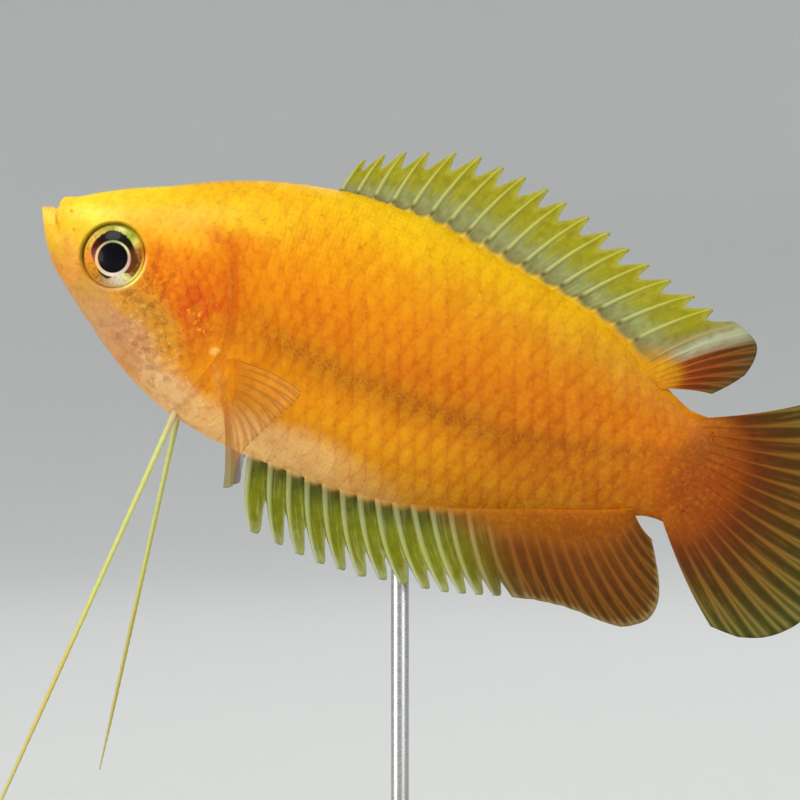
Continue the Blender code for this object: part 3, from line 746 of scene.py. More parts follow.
def scaleTemplate():
    # x runs from root to free edge, y across, both as shares of the scale, and z is its rise
    bm = bmesh.new()
    bmesh.ops.create_grid(bm, x_segments=7, y_segments=10, size=0.5)
    top = set(madeVerts(bmesh.ops.extrude_face_region(bm, geom=list(bm.faces))))
    for vert in bm.verts:
        along = vert.co.x + 0.5
        across = vert.co.y * 2
        bow = 1 - 0.66 * (1 - math.sqrt(1 - 0.9 * across * across))
        neck = 0.74 + 0.26 * math.sin(math.pi * min(along * 0.8, 0.5))
        rise = along + 0.12 * (1 - across * across) * math.sin(math.pi * along)
        rise *= 1 - 0.3 * across ** 4
        vert.co = (along * bow, across * neck, rise if vert in top else rise - 0.9)
    under = [face for face in bm.faces if not any(vert in top for vert in face.verts)]
    bmesh.ops.dissolve_faces(bm, faces=under)
    bmesh.ops.recalc_face_normals(bm, faces=bm.faces)
    return meshFrom("scaleTemplate", bm)


def scalePlaces():
    # root station, arc and size of each scale on one side
    draw = random.Random(scales["seed"])
    places = []
    station = scales["first"]
    column = 0
    while station < scales["last"]:
        pitch = pitchAt(station)
        table = arcTable(round(station * 2))
        row = -30
        while row <= 30:
            if (row + column) % 2 == 0:
                arc = row * rowAt(station)
                jitter = (draw.uniform(-0.04, 0.04), draw.uniform(-0.03, 0.03))
                tone = draw.uniform(-1, 1)
                if table[0] - 0.2 < arc < table[-1] + 0.2:
                    places.append((station + jitter[0], arc + jitter[1], pitch, tone))
            row += 1
        station += pitch / 2
        column += 1
    return places


def scaleIsKept(station, point):
    x, z = point.x, point.z
    if math.hypot(x - eye["x"], z - eye["z"]) < eye["radius"] + 0.5:
        return False
    if station < 12 and z < -5.3 - 0.25 * (x - 6):
        return False
    if 10.9 < station < 11.95 and gillFade(z) > 0.2:
        return False
    return x > 3.6 if z > 1.2 else x > 6.2 + 0.2 * max(-z, 0)


def makeScales(material):
    template = scaleTemplate()
    bm = bmesh.new()
    toneLayer = bm.verts.layers.float.new("scaleTone")
    shapeLayer = bm.loops.layers.uv.new("scaleShape")
    bakeLayer = bm.loops.layers.uv.new("OFBake")
    count = 0
    for station, arc, pitch, tone in scalePlaces():
        root = bodyPoint(station, angleAt(station, arc))
        if not scaleIsKept(station, root):
            continue
        count += 1
        before = len(bm.verts)
        beforeFaces = len(bm.faces)
        bm.from_mesh(template)
        bm.verts.ensure_lookup_table()
        bm.faces.ensure_lookup_table()
        length = pitch * scales["length"]
        half = rowAt(station) * scales["height"]
        lift = liftAt(station)
        covered = station < 12 and gillFade(root.z) > 0.2
        if covered:
            lift *= smoothStep((11.4 - station) / 2)
        shape = {}
        for vert in bm.verts[before:]:
            along, across, rise = vert.co
            shape[vert] = (along, across)
            place = station + along * length
            if covered:
                place = min(place, gill["nominal"] - 0.03)
            point, normal = onSkin(place, angleAt(place, arc + across * half))
            vert.co = point + normal * lift * (rise - 0.12)
            vert[toneLayer] = tone
        rootU = station / body["stations"][-1][0]
        rootV = angleAt(station, arc) / (2 * math.pi)
        for face in bm.faces[beforeFaces:]:
            for loop in face.loops:
                along, across = shape[loop.vert]
                loop[shapeLayer].uv = (along, across * 0.5 + 0.5)
                loop[bakeLayer].uv = (
                    rootU + (along - 0.5) * scales["patch"],
                    rootV + across * 0.5 * scales["patch"],
                )
    bpy.data.meshes.remove(template)
    print("scales on each side:", count)
    mirrored = bm.copy()
    bmesh.ops.scale(mirrored, vec=(1, -1, 1), verts=mirrored.verts)
    bakeLayer = mirrored.loops.layers.uv["OFBake"]
    for face in mirrored.faces:
        for loop in face.loops:
            loop[bakeLayer].uv.y = 1 - loop[bakeLayer].uv.y
    for name, half in (("scalesRight", bm), ("scalesLeft", mirrored)):
        finishPiece(name, half, material, fishToWorld, (), sharp=50, loose=True)


def scaleMaterial():
    material, tree, shader = newMaterial(
        "fishScales", Roughness=0.4, Coat_Roughness=0.16, Specular_IOR_Level=0.12
    )
    place, marks = marked(tree)
    u, v, _ = axesOf(addNode(tree, "UVMap", uv_map="scaleShape").outputs[0])
    tone = attributeOf(tree, "scaleTone")
    away = axesOf(place)[0]
    bold = times(fade(marks["Head"], 1, 0, 0.35, 1), fade(away, 46, 41))
    colour = marks["Colour"]
    darkToneAndShade = deepened(colour, 222, 186, 150)
    paleToneAndGlint = mix(0.22, colour, srgb(255, 206, 20))

    # painted shade where a scale comes out from under the next, and a painted glint in the middle of
    # what shows, stronger low on the flank
    colour = mix(times(times(fade(u, 0.62, 0.36), 0.45), bold), colour, darkToneAndShade)
    middleOut = minus(u, 0.7)
    sideOut = minus(v, 0.5)
    apart = maths("SQRT", plus(times(middleOut, middleOut), times(sideOut, sideOut)))
    paintedGlint = fade(apart, 0.34, 0.05)
    glints = ellipseMask(place, (27, -6), (6.5, 2.6), 6)
    paintedGlint = times(paintedGlint, maths("MULTIPLY_ADD", glints, 0.55, 0.45))
    colour = mix(times(paintedGlint, bold), colour, paleToneAndGlint)
    # a painted shadow line along each scale's free edge
    colour = mix(times(times(fade(u, 0.9, 0.99), 0.15), bold), colour, darkToneAndShade)
    # each scale's random tone, lighter or darker, uses the same two tints
    for end, strength, tint in ((1, 0.24, paleToneAndGlint), (-1, 0.22, darkToneAndShade)):
        colour = mix(times(fade(tone, 0, end, 0, strength), bold), colour, tint)
    grain = noiseAt(place, 5)
    rough = fade(grain, 0.3, 0.7, 0.32, 0.5)
    coat = fade(tone, -1, 1, 0.02, 0.09)
    lines = plus(maths("SINE", times(v, 60)), maths("SINE", times(u, 42)))
    height = maths("MULTIPLY_ADD", lines, fade(away, 10, 18), times(grain, 4))
    setInputs(shader, {
        "Base Color": colour, "Roughness": rough, "Coat Weight": coat,
        "Normal": bumpOf(0.22, 0.00002, height),
    })
    return material


# Eyes


def makeEye(name, side, material):
    bm = bmesh.new()
    bmesh.ops.create_uvsphere(bm, u_segments=64, v_segments=48, radius=1)
    normal = flankNormal(eye["x"], eye["z"], side)
    centre = flankPoint(eye["x"], eye["z"], side) - normal * eye["sink"]
    size = Matrix.Diagonal((eye["radius"], eye["radius"], eye["halfDepth"], 1))
    turn = Vector((0, 0, 1)).rotation_difference(normal).to_matrix().to_4x4()
    bmesh.ops.transform(bm, matrix=Matrix.Translation(centre) @ turn @ size, verts=bm.verts)
    finishPiece(name, bm, material, fishToWorld, ("eye_" + name[3:].lower(),))


def eyeMaterial():
    material, tree, shader = newMaterial(
        "eyeIris", Roughness=0.3, Coat_Weight=0.18, Coat_Roughness=0.02, Coat_IOR=1.36,
        Specular_IOR_Level=0.06,
    )
    place = fishPlace(tree)
    away, turn = polarAt(place, eye["pupil"])
    outer, outerTurn = polarAt(place, (eye["x"], eye["z"]))
    # The iris ramp carries painted highlights and painted reflections low on the eye and high towards
    # the tail.
    colour = turnRamp(turn, eye["iris"])
    streak = noiseAt(joined(times(turn, 7), times(away, 1.6)), 1.6, 4, 0.7)
    colour = mix(fade(streak, 0.48, 0.72, 0, 0.6), colour, deepened(colour, 140, 116, 70))
    colour = mix(fade(streak, 0.48, 0.32, 0, 0.3), colour, srgb(250, 232, 150))
    reach = plus(turnValue(turn, eye["bandReach"]), 1)
    reach = maths("MULTIPLY_ADD", streak, 0.16, minus(reach, 0.08))
    # The dark band's lowest part is painted shade.
    colour = mix(fade(minus(away, reach), 0.09, -0.05), colour, turnRamp(turn, eye["band"]))
    ringEnd = minus(1.19, times(0.05, maths("SINE", turn)))
    colour = mix(fade(minus(away, ringEnd), 0.04, -0.04), colour, turnRamp(turn, eye["ring"]))
    colour = mix(fade(away, *eye["pupilEdge"]), colour, srgb(6, 4, 12))
    # The eye's rim takes the edge colours, with their painted highlight and painted shadow.
    colour = mix(fade(outer, 1.88, 2.02), colour, turnRamp(outerTurn, eye["edge"]))
    setInputs(shader, {"Base Color": colour})
    return material


# Fins

fins = {
    "web": 0.05,         # half thickness of a membrane
    "rows": 30, "rod": (-1, -0.6, 0, 0.6, 1), "softSteps": 12,
    "flesh": 0.4,        # half thickness of the foot by which a fin grows out of the body
    "fleshReach": 0.27,
}

# tips are listed from the front to the rear; cut is the outline of a membrane between two spines
dorsal = {
    "name": "dorsalFin", "node": "dorsal_fin", "slot": "dorsal_membrane", "sign": 1, "spines": 18,
    "soft": 7, "spread": 1.1, "bend": 6, "rodWidth": 0.15, "rodHeight": 0.15, "foot": 1.1,
    "base": (18.04, 41.24, 43.5),
    "tips": ((18.65, 11.13), (19.73, 11.89), (20.95, 12.57), (22.37, 13.14), (24.06, 13.78),
        (25.75, 14.18), (27.38, 14.08), (28.99, 14.02), (30.69, 13.84), (32.15, 13.52),
        (33.93, 13.15), (35.63, 12.71), (37.21, 12.19), (38.82, 11.71), (40.55, 11.27),
        (42.42, 10.92), (43.88, 10.52), (45.61, 10.27), (46.5, 10.02), (47.31, 9.62), (47.63, 9.18),
        (47.74, 8.36), (47.54, 7.27), (46.86, 6.28), (45.97, 5.27)),
    "notch": ((0, 0.9), (4, 1.4), (12, 1.4), (17, 0.9)),
    "cut": ((0, 0), (0.2, 0.55), (0.45, 1), (0.7, 0.75), (1, 0.05)),
}
anal = {
    "name": "analFin", "node": "anal_fin", "slot": "anal_membrane", "sign": -1, "spines": 14,
    "soft": 13, "spread": 0.93, "bend": 10, "rodWidth": 0.2, "rodHeight": 0.18, "foot": 1.5,
    "base": (19.1, 35.25, 44.5),
    "tips": ((20.87, -14.78), (22.72, -14.86), (24.28, -14.98), (25.81, -15.03), (27.25, -14.9),
        (28.7, -14.83), (30.08, -14.5), (31.44, -14.24), (32.95, -13.98), (34.28, -13.7),
        (35.39, -13.37), (36.45, -13.03), (37.54, -12.65), (38.68, -12.28), (40.01, -11.89),
        (41.05, -11.7), (42.03, -11.55), (43.18, -11.5), (44.79, -11.54), (46.14, -11.4),
        (47, -10.89), (47.62, -10.29), (47.85, -9.47), (47.74, -8.52), (47.27, -7.44),
        (46.6, -6.32), (45.87, -5.21)),
    "notch": ((0, 2.5), (3, 2.1), (8, 1.6), (13, 0.9)),
    "cut": ((0, 0), (0.3, 0.05), (0.6, 0.38), (0.85, 0.86), (1, 1)),
}
tail = {
    "rays": 16, "top": 3.7, "bottom": -3.9, "leanTop": 31, "leanBottom": -43.5, "bend": -6,
    "length": 11.2, "rounding": 3.6, "roundingPower": 4, "sink": 1.3,
}
pectoral = {
    "rays": (       # root, tip and arch of each ray
        ((15.41, -4.62), (20.62, -4.72), 12), ((15.66, -5), (20.71, -5.11), 13),
        ((15.85, -5.42), (20.51, -5.68), 14), ((16.06, -5.86), (20.13, -6.36), 15),
        ((16.21, -6.32), (19.71, -7.11), 16), ((16.36, -6.69), (19.38, -7.91), 18),
        ((16.45, -7.09), (18.99, -8.71), 19), ((16.51, -7.43), (18.65, -9.5), 20),
        ((16.53, -7.62), (18.44, -10.59), 16), ((16.46, -7.79), (18.79, -12.18), 10),
        ((16.35, -7.89), (18.29, -12.53), 6),
    ),
    "flare": ((0, 40), (0.5, 50), (0.85, 36), (1, 27)),
}


def flesh(share):
    return fins["flesh"] * (1 - smoothStep(share / fins["fleshReach"]))


def rayRise(share):
    # a ray's ridge comes up gently out of the foot
    return smoothStep((share + 0.02) / 0.26)


def bentRay(root, lean, length, bend, sink, flare=0):
    # a curved line from just under the skin to the tip
    def direction(angle):
        angle = math.radians(angle)
        out = math.radians(flare)
        level = Vector((math.cos(angle), 0, math.sin(angle)))
        return level * math.cos(out) + Vector((0, math.sin(out), 0))

    tip = root + length * direction(lean)
    elbow = root + 0.56 * length * direction(lean + bend)

    def pointAt(share):
        t = (share * (length + sink) - sink) / length
        return root * (1 - t) ** 2 + elbow * 2 * t * (1 - t) + tip * t * t

    return pointAt


def rodColumns(ray, after, number, fin):
    # columns across one spine, as (place, half thickness, ray mask) for a share of its length
    columns = []
    for offset in fins["rod"]:
        def place(share, offset=offset):
            point = ray(share)
            along = (ray(share + 0.02) - ray(share - 0.02)).normalized()
            side = (after(share) - point).normalized()
            side = (side - along * side.dot(along)).normalized()
            return point + side * offset * fin["rodWidth"] * (1 - 0.75 * share ** 1.5)

        def thick(share, offset=offset):
            ridge = fin["rodHeight"] * (1 - 0.8 * share ** 1.3) * math.sqrt(1 - offset * offset)
            return fins["web"] * 0.8 + ridge * rayRise(share) + fin["foot"] * flesh(share)

        columns.append((place, thick, 1.0 if abs(offset) < 0.9 else 0.55, number))
    return columns


def webColumns(ray, after, number, notch, cutAt, fin):
    # the membrane between two spines, with its free edge cut back
    columns = []
    for share in (0.03, 0.14, 0.28, 0.42, 0.56, 0.7, 0.84, 0.97):
        def place(along, share=share):
            reach = 1 - notch * cutAt(share)
            start, end = ray(along * reach), after(along * reach)
            inset = min(fin["rodWidth"] / (end - start).length, 0.3)
            return start.lerp(end, inset + share * (1 - 2 * inset))

        def thick(along):
            return fins["web"] * (1 - 0.35 * along) + fin["foot"] * flesh(along)

        columns.append((place, thick, 0.0, number + share))
    return columns


def branchRidge(share, along, split, width):
    # height of a soft ray's ridge, which forks once past the split
    fork = 0.2 * smoothStep((along - split) / (1 - split))
    places = (share - fork, share + fork, share - 1 - fork, share - 1 + fork)
    return max(hump(place, width) for place in places)


def softColumns(ray, after, number, height, inset, last, split=0.45, width=0.15, foot=1):
    columns = []
    steps = fins["softSteps"]
    for k in range(steps + last):
        share = k / steps

        def place(along, share=share):
            reach = 1 - inset * 4 * share * (1 - share)
            return ray(along * reach).lerp(after(along * reach), share)

        def thick(along, share=share):
            ridge = height * (1 - 0.82 * along) * branchRidge(share, along, split, width)
            return fins["web"] * (1 - 0.35 * along) + ridge * rayRise(along) + foot * flesh(along)

        def mask(along, share=share):
            return branchRidge(share, along, split, width * 0.85) * rayRise(along)

        columns.append((place, thick, mask, number + share))
    return columns


def finSlab(columns, rayCount):
    # a closed slab: a grid, extruded, whose two faces stand off the fin's middle surface
    rows = fins["rows"]
    count = len(columns)
    centres = [[column[0](j / rows) for j in range(rows + 1)] for column in columns]
    bm = bmesh.new()
    layers = [bm.verts.layers.float.new(name) for name in ("rayMask", "finAlong", "finAcross")]
    bmesh.ops.create_grid(bm, x_segments=count - 1, y_segments=rows, size=0.5)
    top = set(madeVerts(bmesh.ops.extrude_face_region(bm, geom=list(bm.faces))))
    for vert in bm.verts:
        i = round((vert.co.x + 0.5) * (count - 1))
        j = round((vert.co.y + 0.5) * rows)
        _, thick, mask, number = columns[i]
        share = j / rows
        across = centres[min(i + 1, count - 1)][j] - centres[max(i - 1, 0)][j]
        along = centres[i][min(j + 1, rows)] - centres[i][max(j - 1, 0)]
        out = along.cross(across).normalized() * thick(share)
        vert.co = centres[i][j] + (out if vert in top else -out)
        mask = mask(share) if callable(mask) else mask
        for layer, value in zip(layers, (mask, share, number / rayCount)):
            vert[layer] = value
    return bm


def medianFin(fin, material):
    start, middleX, end = fin["base"]
    spines, soft, sign = fin["spines"], fin["soft"], fin["sign"]
    bases = [start + (middleX - start) * (i / (spines - 1)) ** fin["spread"] for i in range(spines)]
    bases += [middleX + (end - middleX) * ((i + 1) / soft) ** 0.8 for i in range(soft)]
    notchAt, cutAt = curveThrough(fin["notch"]), curveThrough(fin["cut"])
    rays, lengths, columns = [], [], []
    for x, (tipX, tipZ) in zip(bases, fin["tips"]):
        root = Vector((x, 0, crown(x) + 0.3 if sign > 0 else keel(x) - 0.3))
        span = Vector((tipX, 0, tipZ)) - root
        lean = math.degrees(math.atan2(span.z, span.x))
        lengths.append(span.length)
        rays.append(bentRay(root, lean, span.length, sign * fin["bend"], 0.75))
    for i, (ray, after) in enumerate(zip(rays, rays[1:])):
        if i < spines - 1:
            columns += rodColumns(ray, after, i, fin)
            columns += webColumns(ray, after, i, min(notchAt(i) / lengths[i], 0.55), cutAt, fin)
        else:
            columns += softColumns(ray, after, i, 0.1, -0.006, i == len(rays) - 2, foot=fin["foot"])
    bm = finSlab(columns, len(rays) - 1)
    finishPiece(fin["name"], bm, material, fishToWorld, (fin["node"],))


def makeTailFin(material):
    rays, columns = [], []
    for i in range(tail["rays"]):
        share = i / (tail["rays"] - 1)
        z = tail["top"] + (tail["bottom"] - tail["top"]) * share
        lean = tail["leanTop"] + (tail["leanBottom"] - tail["leanTop"]) * share
        length = tail["length"] - tail["rounding"] * abs(2 * share - 1) ** tail["roundingPower"]
        root = Vector((stalkEnd(z) + 0.3, 0, z))
        rays.append(bentRay(root, lean, length, tail["bend"], tail["sink"]))
    for i, (ray, after) in enumerate(zip(rays, rays[1:])):
        columns += softColumns(ray, after, i, 0.15, -0.006, i == len(rays) - 2, 0.35, 0.12)
    bm = finSlab(columns, len(rays) - 1)
    finishPiece("tailFin", bm, material, fishToWorld, ("caudal_fin",))


def makePectoralFin(name, side, material):
    flareAt = curveThrough(pectoral["flare"])
    count = len(pectoral["rays"])
    rays, columns = [], []
    for i, ((rootX, rootZ), (tipX, tipZ), arch) in enumerate(pectoral["rays"]):
        flare = flareAt(i / (count - 1))
        lean = math.degrees(math.atan2(tipZ - rootZ, tipX - rootX))
        length = math.hypot(tipZ - rootZ, tipX - rootX) / math.cos(math.radians(flare))
        rays.append(bentRay(flankPoint(rootX, rootZ, 1), lean, length, arch, 0.35, flare))
    for i, (ray, after) in enumerate(zip(rays, rays[1:])):
        columns += softColumns(ray, after, i, 0.07, -0.01, i == count - 2, 0.55, 0.2, 0.25)
    bm = finSlab(columns, count - 1)
    if side < 0:
        bmesh.ops.scale(bm, vec=(1, -1, 1), verts=bm.verts)
    node = "pectoral_fin_" + name[11:].lower()
    finishPiece(name, bm, material, fishToWorld, (node,))


def finMaterial(name):
    # colours and opacity run from root to tip; a rear look takes over past a place along the fin
    look = finLooks[name]
    material, tree, shader = newMaterial(
        name, Roughness=0.45, Coat_Weight=0.05, Coat_Roughness=0.2, Specular_IOR_Level=0.12
    )
    place, marks = marked(tree)
    rayMask, along, across = (attributeOf(tree, key) for key in ("rayMask", "finAlong", "finAcross"))
    web = lengthRamp(along, look["web"])
    ray = lengthRamp(along, look["ray"])
    foot = fade(along, *look["foot"])
    if "rear" in look:
        start, end, rearWeb, rearRay, rearFoot = look["rear"]
        past = fade(across, start, end)
        web = mix(past, web, lengthRamp(along, rearWeb))
        ray = mix(past, ray, lengthRamp(along, rearRay))
        foot = maths("MULTIPLY_ADD", minus(fade(along, *rearFoot), foot), past, foot)
    for centre, half, tint, strength, low, high in look.get("bands", ()):
        apart = gap(across, centre / look["rays"])
        band = times(fade(apart, half / look["rays"], 0), fade(along, low, high, 0, strength))
        web = mix(band, web, srgb(*tint))
        ray = mix(band, ray, srgb(*tint))
    streak = noiseAt(joined(times(across, look["rays"] * 4.5), times(along, 2.2)), 1, 3, 0.6)
    cloud = noiseAt(place, 1.4, 3, 0.6)
    web = mix(fade(streak, 0.48, 0.72, 0, 0.5), web, ray)
    web = mix(fade(cloud, 0.4, 0.68, 0, 0.4), web, deepened(web, 196, 186, 150))
    colour = mix(rayMask, web, ray)
    for low, high, tint in look.get("footSpots", ()):
        spot = times(fade(gap(along, (low + high) / 2), (high - low) / 2, 0), rayMask)
        colour = mix(times(spot, 0.8), colour, srgb(*tint))
    colour = mix(foot, marks["Colour"], colour)
    alpha = redOf(lengthRamp(along, [(at, level, level, level) for at, level in look["alpha"]]))
    if "rearAlpha" in look:
        alpha = maths("MAXIMUM", alpha, times(past, look["rearAlpha"]))
    alpha = maths("MAXIMUM", alpha, times(rayMask, look.get("rayAlpha", 0.96)))
    rough = fade(cloud, 0.3, 0.7, 0.36, 0.54)
    setInputs(shader, {"Base Color": colour, "Alpha": alpha, "Roughness": rough})
    return material


# what each fin is coloured like
finLooks = {
    "dorsalMembrane": {
        "rays": 24, "foot": (0.05, 0.14),
        "web": ((0, 199, 167, 62), (0.14, 132, 123, 70), (0.32, 146, 151, 97), (0.55, 150, 146, 40),
            (0.85, 158, 150, 14), (1, 176, 171, 70)),
        "ray": ((0, 199, 167, 70), (0.2, 172, 176, 109), (0.5, 183, 181, 79), (0.85, 178, 171, 44),
            (1, 190, 185, 102)),
        "alpha": ((0, 255), (0.5, 255), (0.9, 252), (1, 240)),
        "rear": (0.66, 0.77, ((0, 188, 109, 2), (0.3, 130, 50, 2), (0.7, 88, 42, 3),
            (1, 70, 58, 20)), ((0, 195, 120, 5), (0.5, 156, 72, 10), (1, 112, 84, 34)),
            (0.12, 0.36)),
        "bands": ((18, 1.5, (180, 185, 148), 0.85, 0.12, 0.42),),
        "footSpots": ((0.08, 0.22, (84, 70, 26)),),
    },
    "analMembrane": {
        "rays": 26, "foot": (0.03, 0.12),
        # The dark olive stop at 0.13 along is painted shadow under the belly's edge.
        "web": ((0, 173, 126, 50), (0.13, 94, 94, 30), (0.4, 114, 119, 7), (0.8, 123, 126, 12),
            (1, 160, 165, 101)),
        "ray": ((0, 168, 134, 76), (0.2, 160, 166, 109), (0.6, 173, 178, 92), (1, 195, 200, 165)),
        "alpha": ((0, 255), (0.5, 255), (0.9, 252), (1, 240)),
        "rear": (0.36, 0.56, ((0, 151, 81, 1), (0.3, 114, 60, 1), (0.7, 84, 44, 1),
            (0.95, 74, 46, 4), (1, 150, 124, 74)), ((0, 160, 87, 1), (0.4, 138, 76, 4),
            (0.9, 120, 76, 16), (1, 160, 136, 84)), (0.08, 0.4)),
    },
    "tailMembrane": {
        "rays": 15, "foot": (0.12, 0.36),
        "web": ((0, 136, 64, 1), (0.25, 116, 46, 1), (0.45, 84, 45, 1), (0.7, 66, 53, 2),
            (1, 64, 66, 8)),
        "ray": ((0, 144, 69, 1), (0.3, 136, 66, 5), (0.6, 132, 92, 25), (1, 130, 122, 56)),
        "alpha": ((0, 255), (0.4, 255), (0.8, 252), (1, 244)),
    },
    "pectoralMembrane": {
        "rays": 10, "foot": (0.06, 0.3), "rayAlpha": 0.55, "rearAlpha": 0.55,
        "web": ((0, 199, 116, 24), (0.3, 224, 156, 55), (0.9, 228, 177, 96), (1, 184, 120, 52)),
        "ray": ((0, 190, 105, 18), (0.4, 175, 96, 15), (1, 180, 114, 46)),
        "alpha": ((0, 240), (0.15, 160), (0.3, 96), (0.92, 84), (0.97, 120), (1, 80)),
        "rear": (0.78, 0.95, ((0, 184, 103, 24), (0.5, 168, 124, 52), (1, 130, 132, 54)),
            ((0, 180, 96, 18), (0.5, 166, 112, 46), (1, 138, 129, 70)), (0.04, 0.22)),
    },
}


# Pelvic threads

threads = {
    "root": (13.3, 0.55, -8.4), "rings": 260, "sides": 12,
    "tips": {"left": (12.35, -6, -41.2), "right": (16.95, 14.6, -35)},
    "radii": ((0, 0.34), (0.03, 0.3), (0.1, 0.21), (0.3, 0.17), (0.8, 0.13), (1, 0.05)),
    "colours": ((0, 214, 160, 130), (0.05, 204, 174, 130), (0.12, 202, 206, 118),
                (0.45, 206, 206, 104), (0.6, 206, 186, 92), (1, 196, 190, 110)),
}


def makeThread(side, material):
    radiusAt = curveThrough(threads["radii"])
    x, y, z = threads["root"]
    root = Vector((x, -y if side == "left" else y, z))
    tip = Vector(threads["tips"][side])
    start = root + (root - tip).normalized()
    bm = bmesh.new()
    alongLayer = bm.verts.layers.float.new("finAlong")
    bmesh.ops.create_cone(bm, cap_ends=True, segments=threads["sides"], radius1=1, radius2=1, depth=1)
    lengthwise = [edge for edge in bm.edges if abs(edge.verts[0].co.z - edge.verts[1].co.z) > 0.5]
    bmesh.ops.subdivide_edges(bm, edges=lengthwise, cuts=threads["rings"] - 1, use_grid_fill=True)
    along = (tip - start).normalized()
    across = along.cross(Vector((0, 1, 0))).normalized()
    other = along.cross(across)
    for vert in bm.verts:
        share = vert.co.z + 0.5
        radius = radiusAt(share) * (1 + 0.07 * math.sin(share * 2 * math.pi * 46))
        vert[alongLayer] = share
        vert.co = start.lerp(tip, share) + radius * (across * vert.co.x + other * vert.co.y)
    name = "pelvicThread" + side.capitalize()
    finishPiece(name, bm, material, fishToWorld, ("pelvic_thread_" + side,))


def threadMaterial():
    material, tree, shader = newMaterial("pelvicThread", Roughness=0.4, Coat_Weight=0.2)
    colour = lengthRamp(attributeOf(tree, "finAlong"), threads["colours"])
    setInputs(shader, {"Base Color": colour})
    return material


# Stand

stand = {
    "length": 40, "width": 32, "points": 96, "rodX": -1.8, "rodY": 2.2,
    "steps": (           # how far each step of the base's edge goes in and up
        (0, 0.55), (-0.15, 0.25), (-0.35, 0.12), (-0.25, 0.22), (0, 0.5), (0.1, 0.35),
        (-0.05, 0.35), (-0.25, 0.32), (-0.45, 0.22), (-0.6, 0.12),
    ),
    "rod": (             # radius and height, with the collar on the base
        (0, 3.02), (2.3, 3.02), (2.3, 3.25), (2.15, 3.42), (1.35, 3.55), (1.05, 3.8),
        (0.98, 4.3), (0.62, 4.36), (0.6, 4.6), (0.6, 29.6), (0.55, 29.9), (0, 30.3),
    ),
}


def makeBase(material):
    # an oval turned base: a foot, a cove and a rounded top edge, lofted by steps of extrusion
    bm = bmesh.new()
    bmesh.ops.create_circle(bm, cap_ends=True, segments=stand["points"], radius=0.5)
    bmesh.ops.scale(bm, vec=(stand["length"], stand["width"], 1), verts=bm.verts)
    halves = [stand["length"] / 2, stand["width"] / 2]
    faces = list(bm.faces)
    for number, (inwards, up) in enumerate(stand["steps"]):
        raised = bmesh.ops.extrude_face_region(bm, geom=faces)
        if number:
            bmesh.ops.delete(bm, geom=faces, context="FACES_ONLY")
        verts = madeVerts(raised)
        faces = [item for item in raised["geom"] if isinstance(item, bmesh.types.BMFace)]
        grown = [(half + inwards) / half for half in halves]
        halves = [half + inwards for half in halves]
        bmesh.ops.scale(bm, vec=(*grown, 1), verts=verts)
        bmesh.ops.translate(bm, vec=(0, 0, up), verts=verts)
    finishPiece("standBase", bm, material, standToWorld, ("stand_base",), sharp=50)


def spun(profile, steps, join):
    # a profile of (radius, height) points turned about the upright axis
    bm = bmesh.new()
    verts = [bm.verts.new((radius, 0, height)) for radius, height in profile]
    edges = [bm.edges.new(pair) for pair in zip(verts, verts[1:])]
    bmesh.ops.spin(
        bm, geom=verts + edges, cent=(0, 0, 0), axis=(0, 0, 1), angle=2 * math.pi, steps=steps,
        use_merge=True,
    )
    bmesh.ops.remove_doubles(bm, verts=bm.verts, dist=join)
    return bm


def makeRod(material):
    bm = spun(stand["rod"], 48, 0.0005)
    bmesh.ops.translate(bm, vec=(stand["rodX"], stand["rodY"], 0), verts=bm.verts)
    finishPiece("standRod", bm, material, standToWorld, ("stand_rod",), sharp=35)


def woodMaterial():
    material, tree, shader = newMaterial(
        "standWood", Roughness=0.35, Coat_Weight=0.35, Coat_Roughness=0.15
    )
    place = objectPlace(tree)
    grain = noiseAt(stretched(place, 60, 900, 900), 1, 6, 0.65)
    pores = noiseAt(stretched(place, 300, 6000, 6000), 1)
    stops = ((0.25, srgb(44, 24, 14)), (0.5, srgb(84, 48, 28)), (0.75, srgb(124, 76, 44)))
    setInputs(shader, {
        "Base Color": mix(fade(pores, 0.5, 0.62, 0, 0.5), ramp(grain, stops), srgb(30, 17, 10)),
        "Roughness": fade(grain, 0.3, 0.7, 0.28, 0.46),
        "Normal": bumpOf(0.3, 0.00005, pores),
    })
    return material


def steelMaterial():
    material, tree, shader = newMaterial("standSteel", Roughness=0.3, Metallic=1)
    lines = noiseAt(stretched(objectPlace(tree), 900, 900, 30000), 1, 3)
    setInputs(shader, {
        "Base Color": mix(lines, srgb(170, 170, 172), srgb(212, 212, 210)),
        "Roughness": fade(lines, 0.3, 0.7, 0.22, 0.42),
    })
    return material


# Studio, in metres

studio = {
    "flat": 0.45, "sweep": 0.75, "sweepSteps": 16, "wallTop": 1.6, "aim": (0, 0, 0.034),
    "lights": (      # name, place, size, power and colour
        ("keyLight", (-0.22, -0.34, 0.52), 0.34, 2, (1, 0.98, 0.95)),
        ("fillLight", (0.4, -0.42, 0.16), 0.4, 1, (1, 1, 1)),
        ("lowLight", (-0.42, -0.24, 0.05), 0.3, 1.2, (1, 1, 1)),
        ("backLight", (0.18, 0.36, 0.42), 0.3, 1, (1, 1, 1)),
    ),
    "air": (0.93, 0.96, 1, 1), "airStrength": 0.5,
    "camera": (-0.0018, -0.25, 0.03333), "lens": 168.75,
}


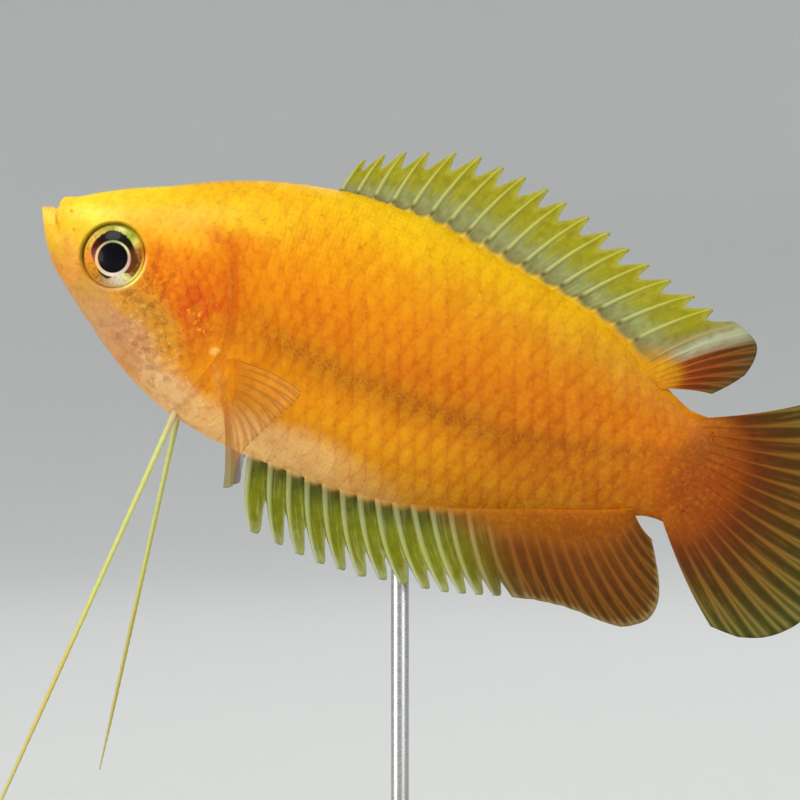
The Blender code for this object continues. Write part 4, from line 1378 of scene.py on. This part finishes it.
def makeStudio():
    # a shallow bowl: flat under the stand and swept up all round, so that no horizon shows
    flat, sweep = studio["flat"], studio["sweep"]
    profile = [(0, 0), (0.2, 0), (flat, 0)]
    for k in range(1, studio["sweepSteps"] + 1):
        turn = math.pi / 2 * k / studio["sweepSteps"]
        profile.append((flat + sweep * math.sin(turn), sweep * (1 - math.cos(turn))))
    profile.append((flat + sweep, studio["wallTop"]))
    mesh = meshFrom("studioFloor", spun(profile, 96, 0.0001))
    mesh.shade_smooth()
    material, tree, shader = newMaterial("studioPaper", Roughness=0.9)
    place = objectPlace(tree)
    paper = noiseAt(place, 6, 3)
    height = axesOf(place)[2]
    # The paper is painted darker on the floor than up the wall: painted shade that evens out the
    # lamps' light over the bowl.
    low = mix(paper, srgb(212, 214, 212), srgb(217, 218, 216))
    high = mix(paper, srgb(226, 228, 226), srgb(231, 232, 230))
    setInputs(shader, {"Base Color": mix(fade(height, 0, 0.12), low, high)})
    mesh.materials.append(material)
    floor = addObject("studioFloor", mesh)


def addLight(name, place, size, power, colour):
    data = bpy.data.lights.new(name, "AREA")
    data.shape = "DISK"
    data.size = size
    data.energy = power
    data.color = colour
    light = addObject(name, data)
    light.location = place
    aim = Vector(studio["aim"]) - Vector(place)
    light.rotation_euler = aim.to_track_quat("-Z", "Y").to_euler()


def makeLights():
    world = bpy.data.worlds.new("studioAir")
    world.use_nodes = True
    values = {0: studio["air"], 1: studio["airStrength"]}
    setInputs(world.node_tree.nodes["Background"], values)
    bpy.context.scene.world = world
    for light in studio["lights"]:
        addLight(*light)
    bpy.context.scene.view_settings.view_transform = "Standard"


def makeCamera():
    data = bpy.data.cameras.new("photoCamera")
    data.lens = studio["lens"]
    data.sensor_width = 36
    data.clip_start = 0.01
    camera = addObject("photoCamera", data)
    camera.location = studio["camera"]
    camera.rotation_euler = (math.pi / 2, 0, 0)
    bpy.context.scene.camera = camera


makeCamera()
makeStudio()
makeLights()
print("studio ready")
makeSkin(skinMaterial())
print("skin ready")
makeScales(scaleMaterial())
print("scales ready")
iris = eyeMaterial()
makeEye("eyeLeft", -1, iris)
makeEye("eyeRight", 1, iris)
print("eyes ready")
medianFin(dorsal, finMaterial("dorsalMembrane"))
medianFin(anal, finMaterial("analMembrane"))
makeTailFin(finMaterial("tailMembrane"))
pectoralMembrane = finMaterial("pectoralMembrane")
makePectoralFin("pectoralFinLeft", -1, pectoralMembrane)
makePectoralFin("pectoralFinRight", 1, pectoralMembrane)
print("fins ready")
feeler = threadMaterial()
makeThread("left", feeler)
makeThread("right", feeler)
makeBase(woodMaterial())
makeRod(steelMaterial())
print("threads and stand ready")
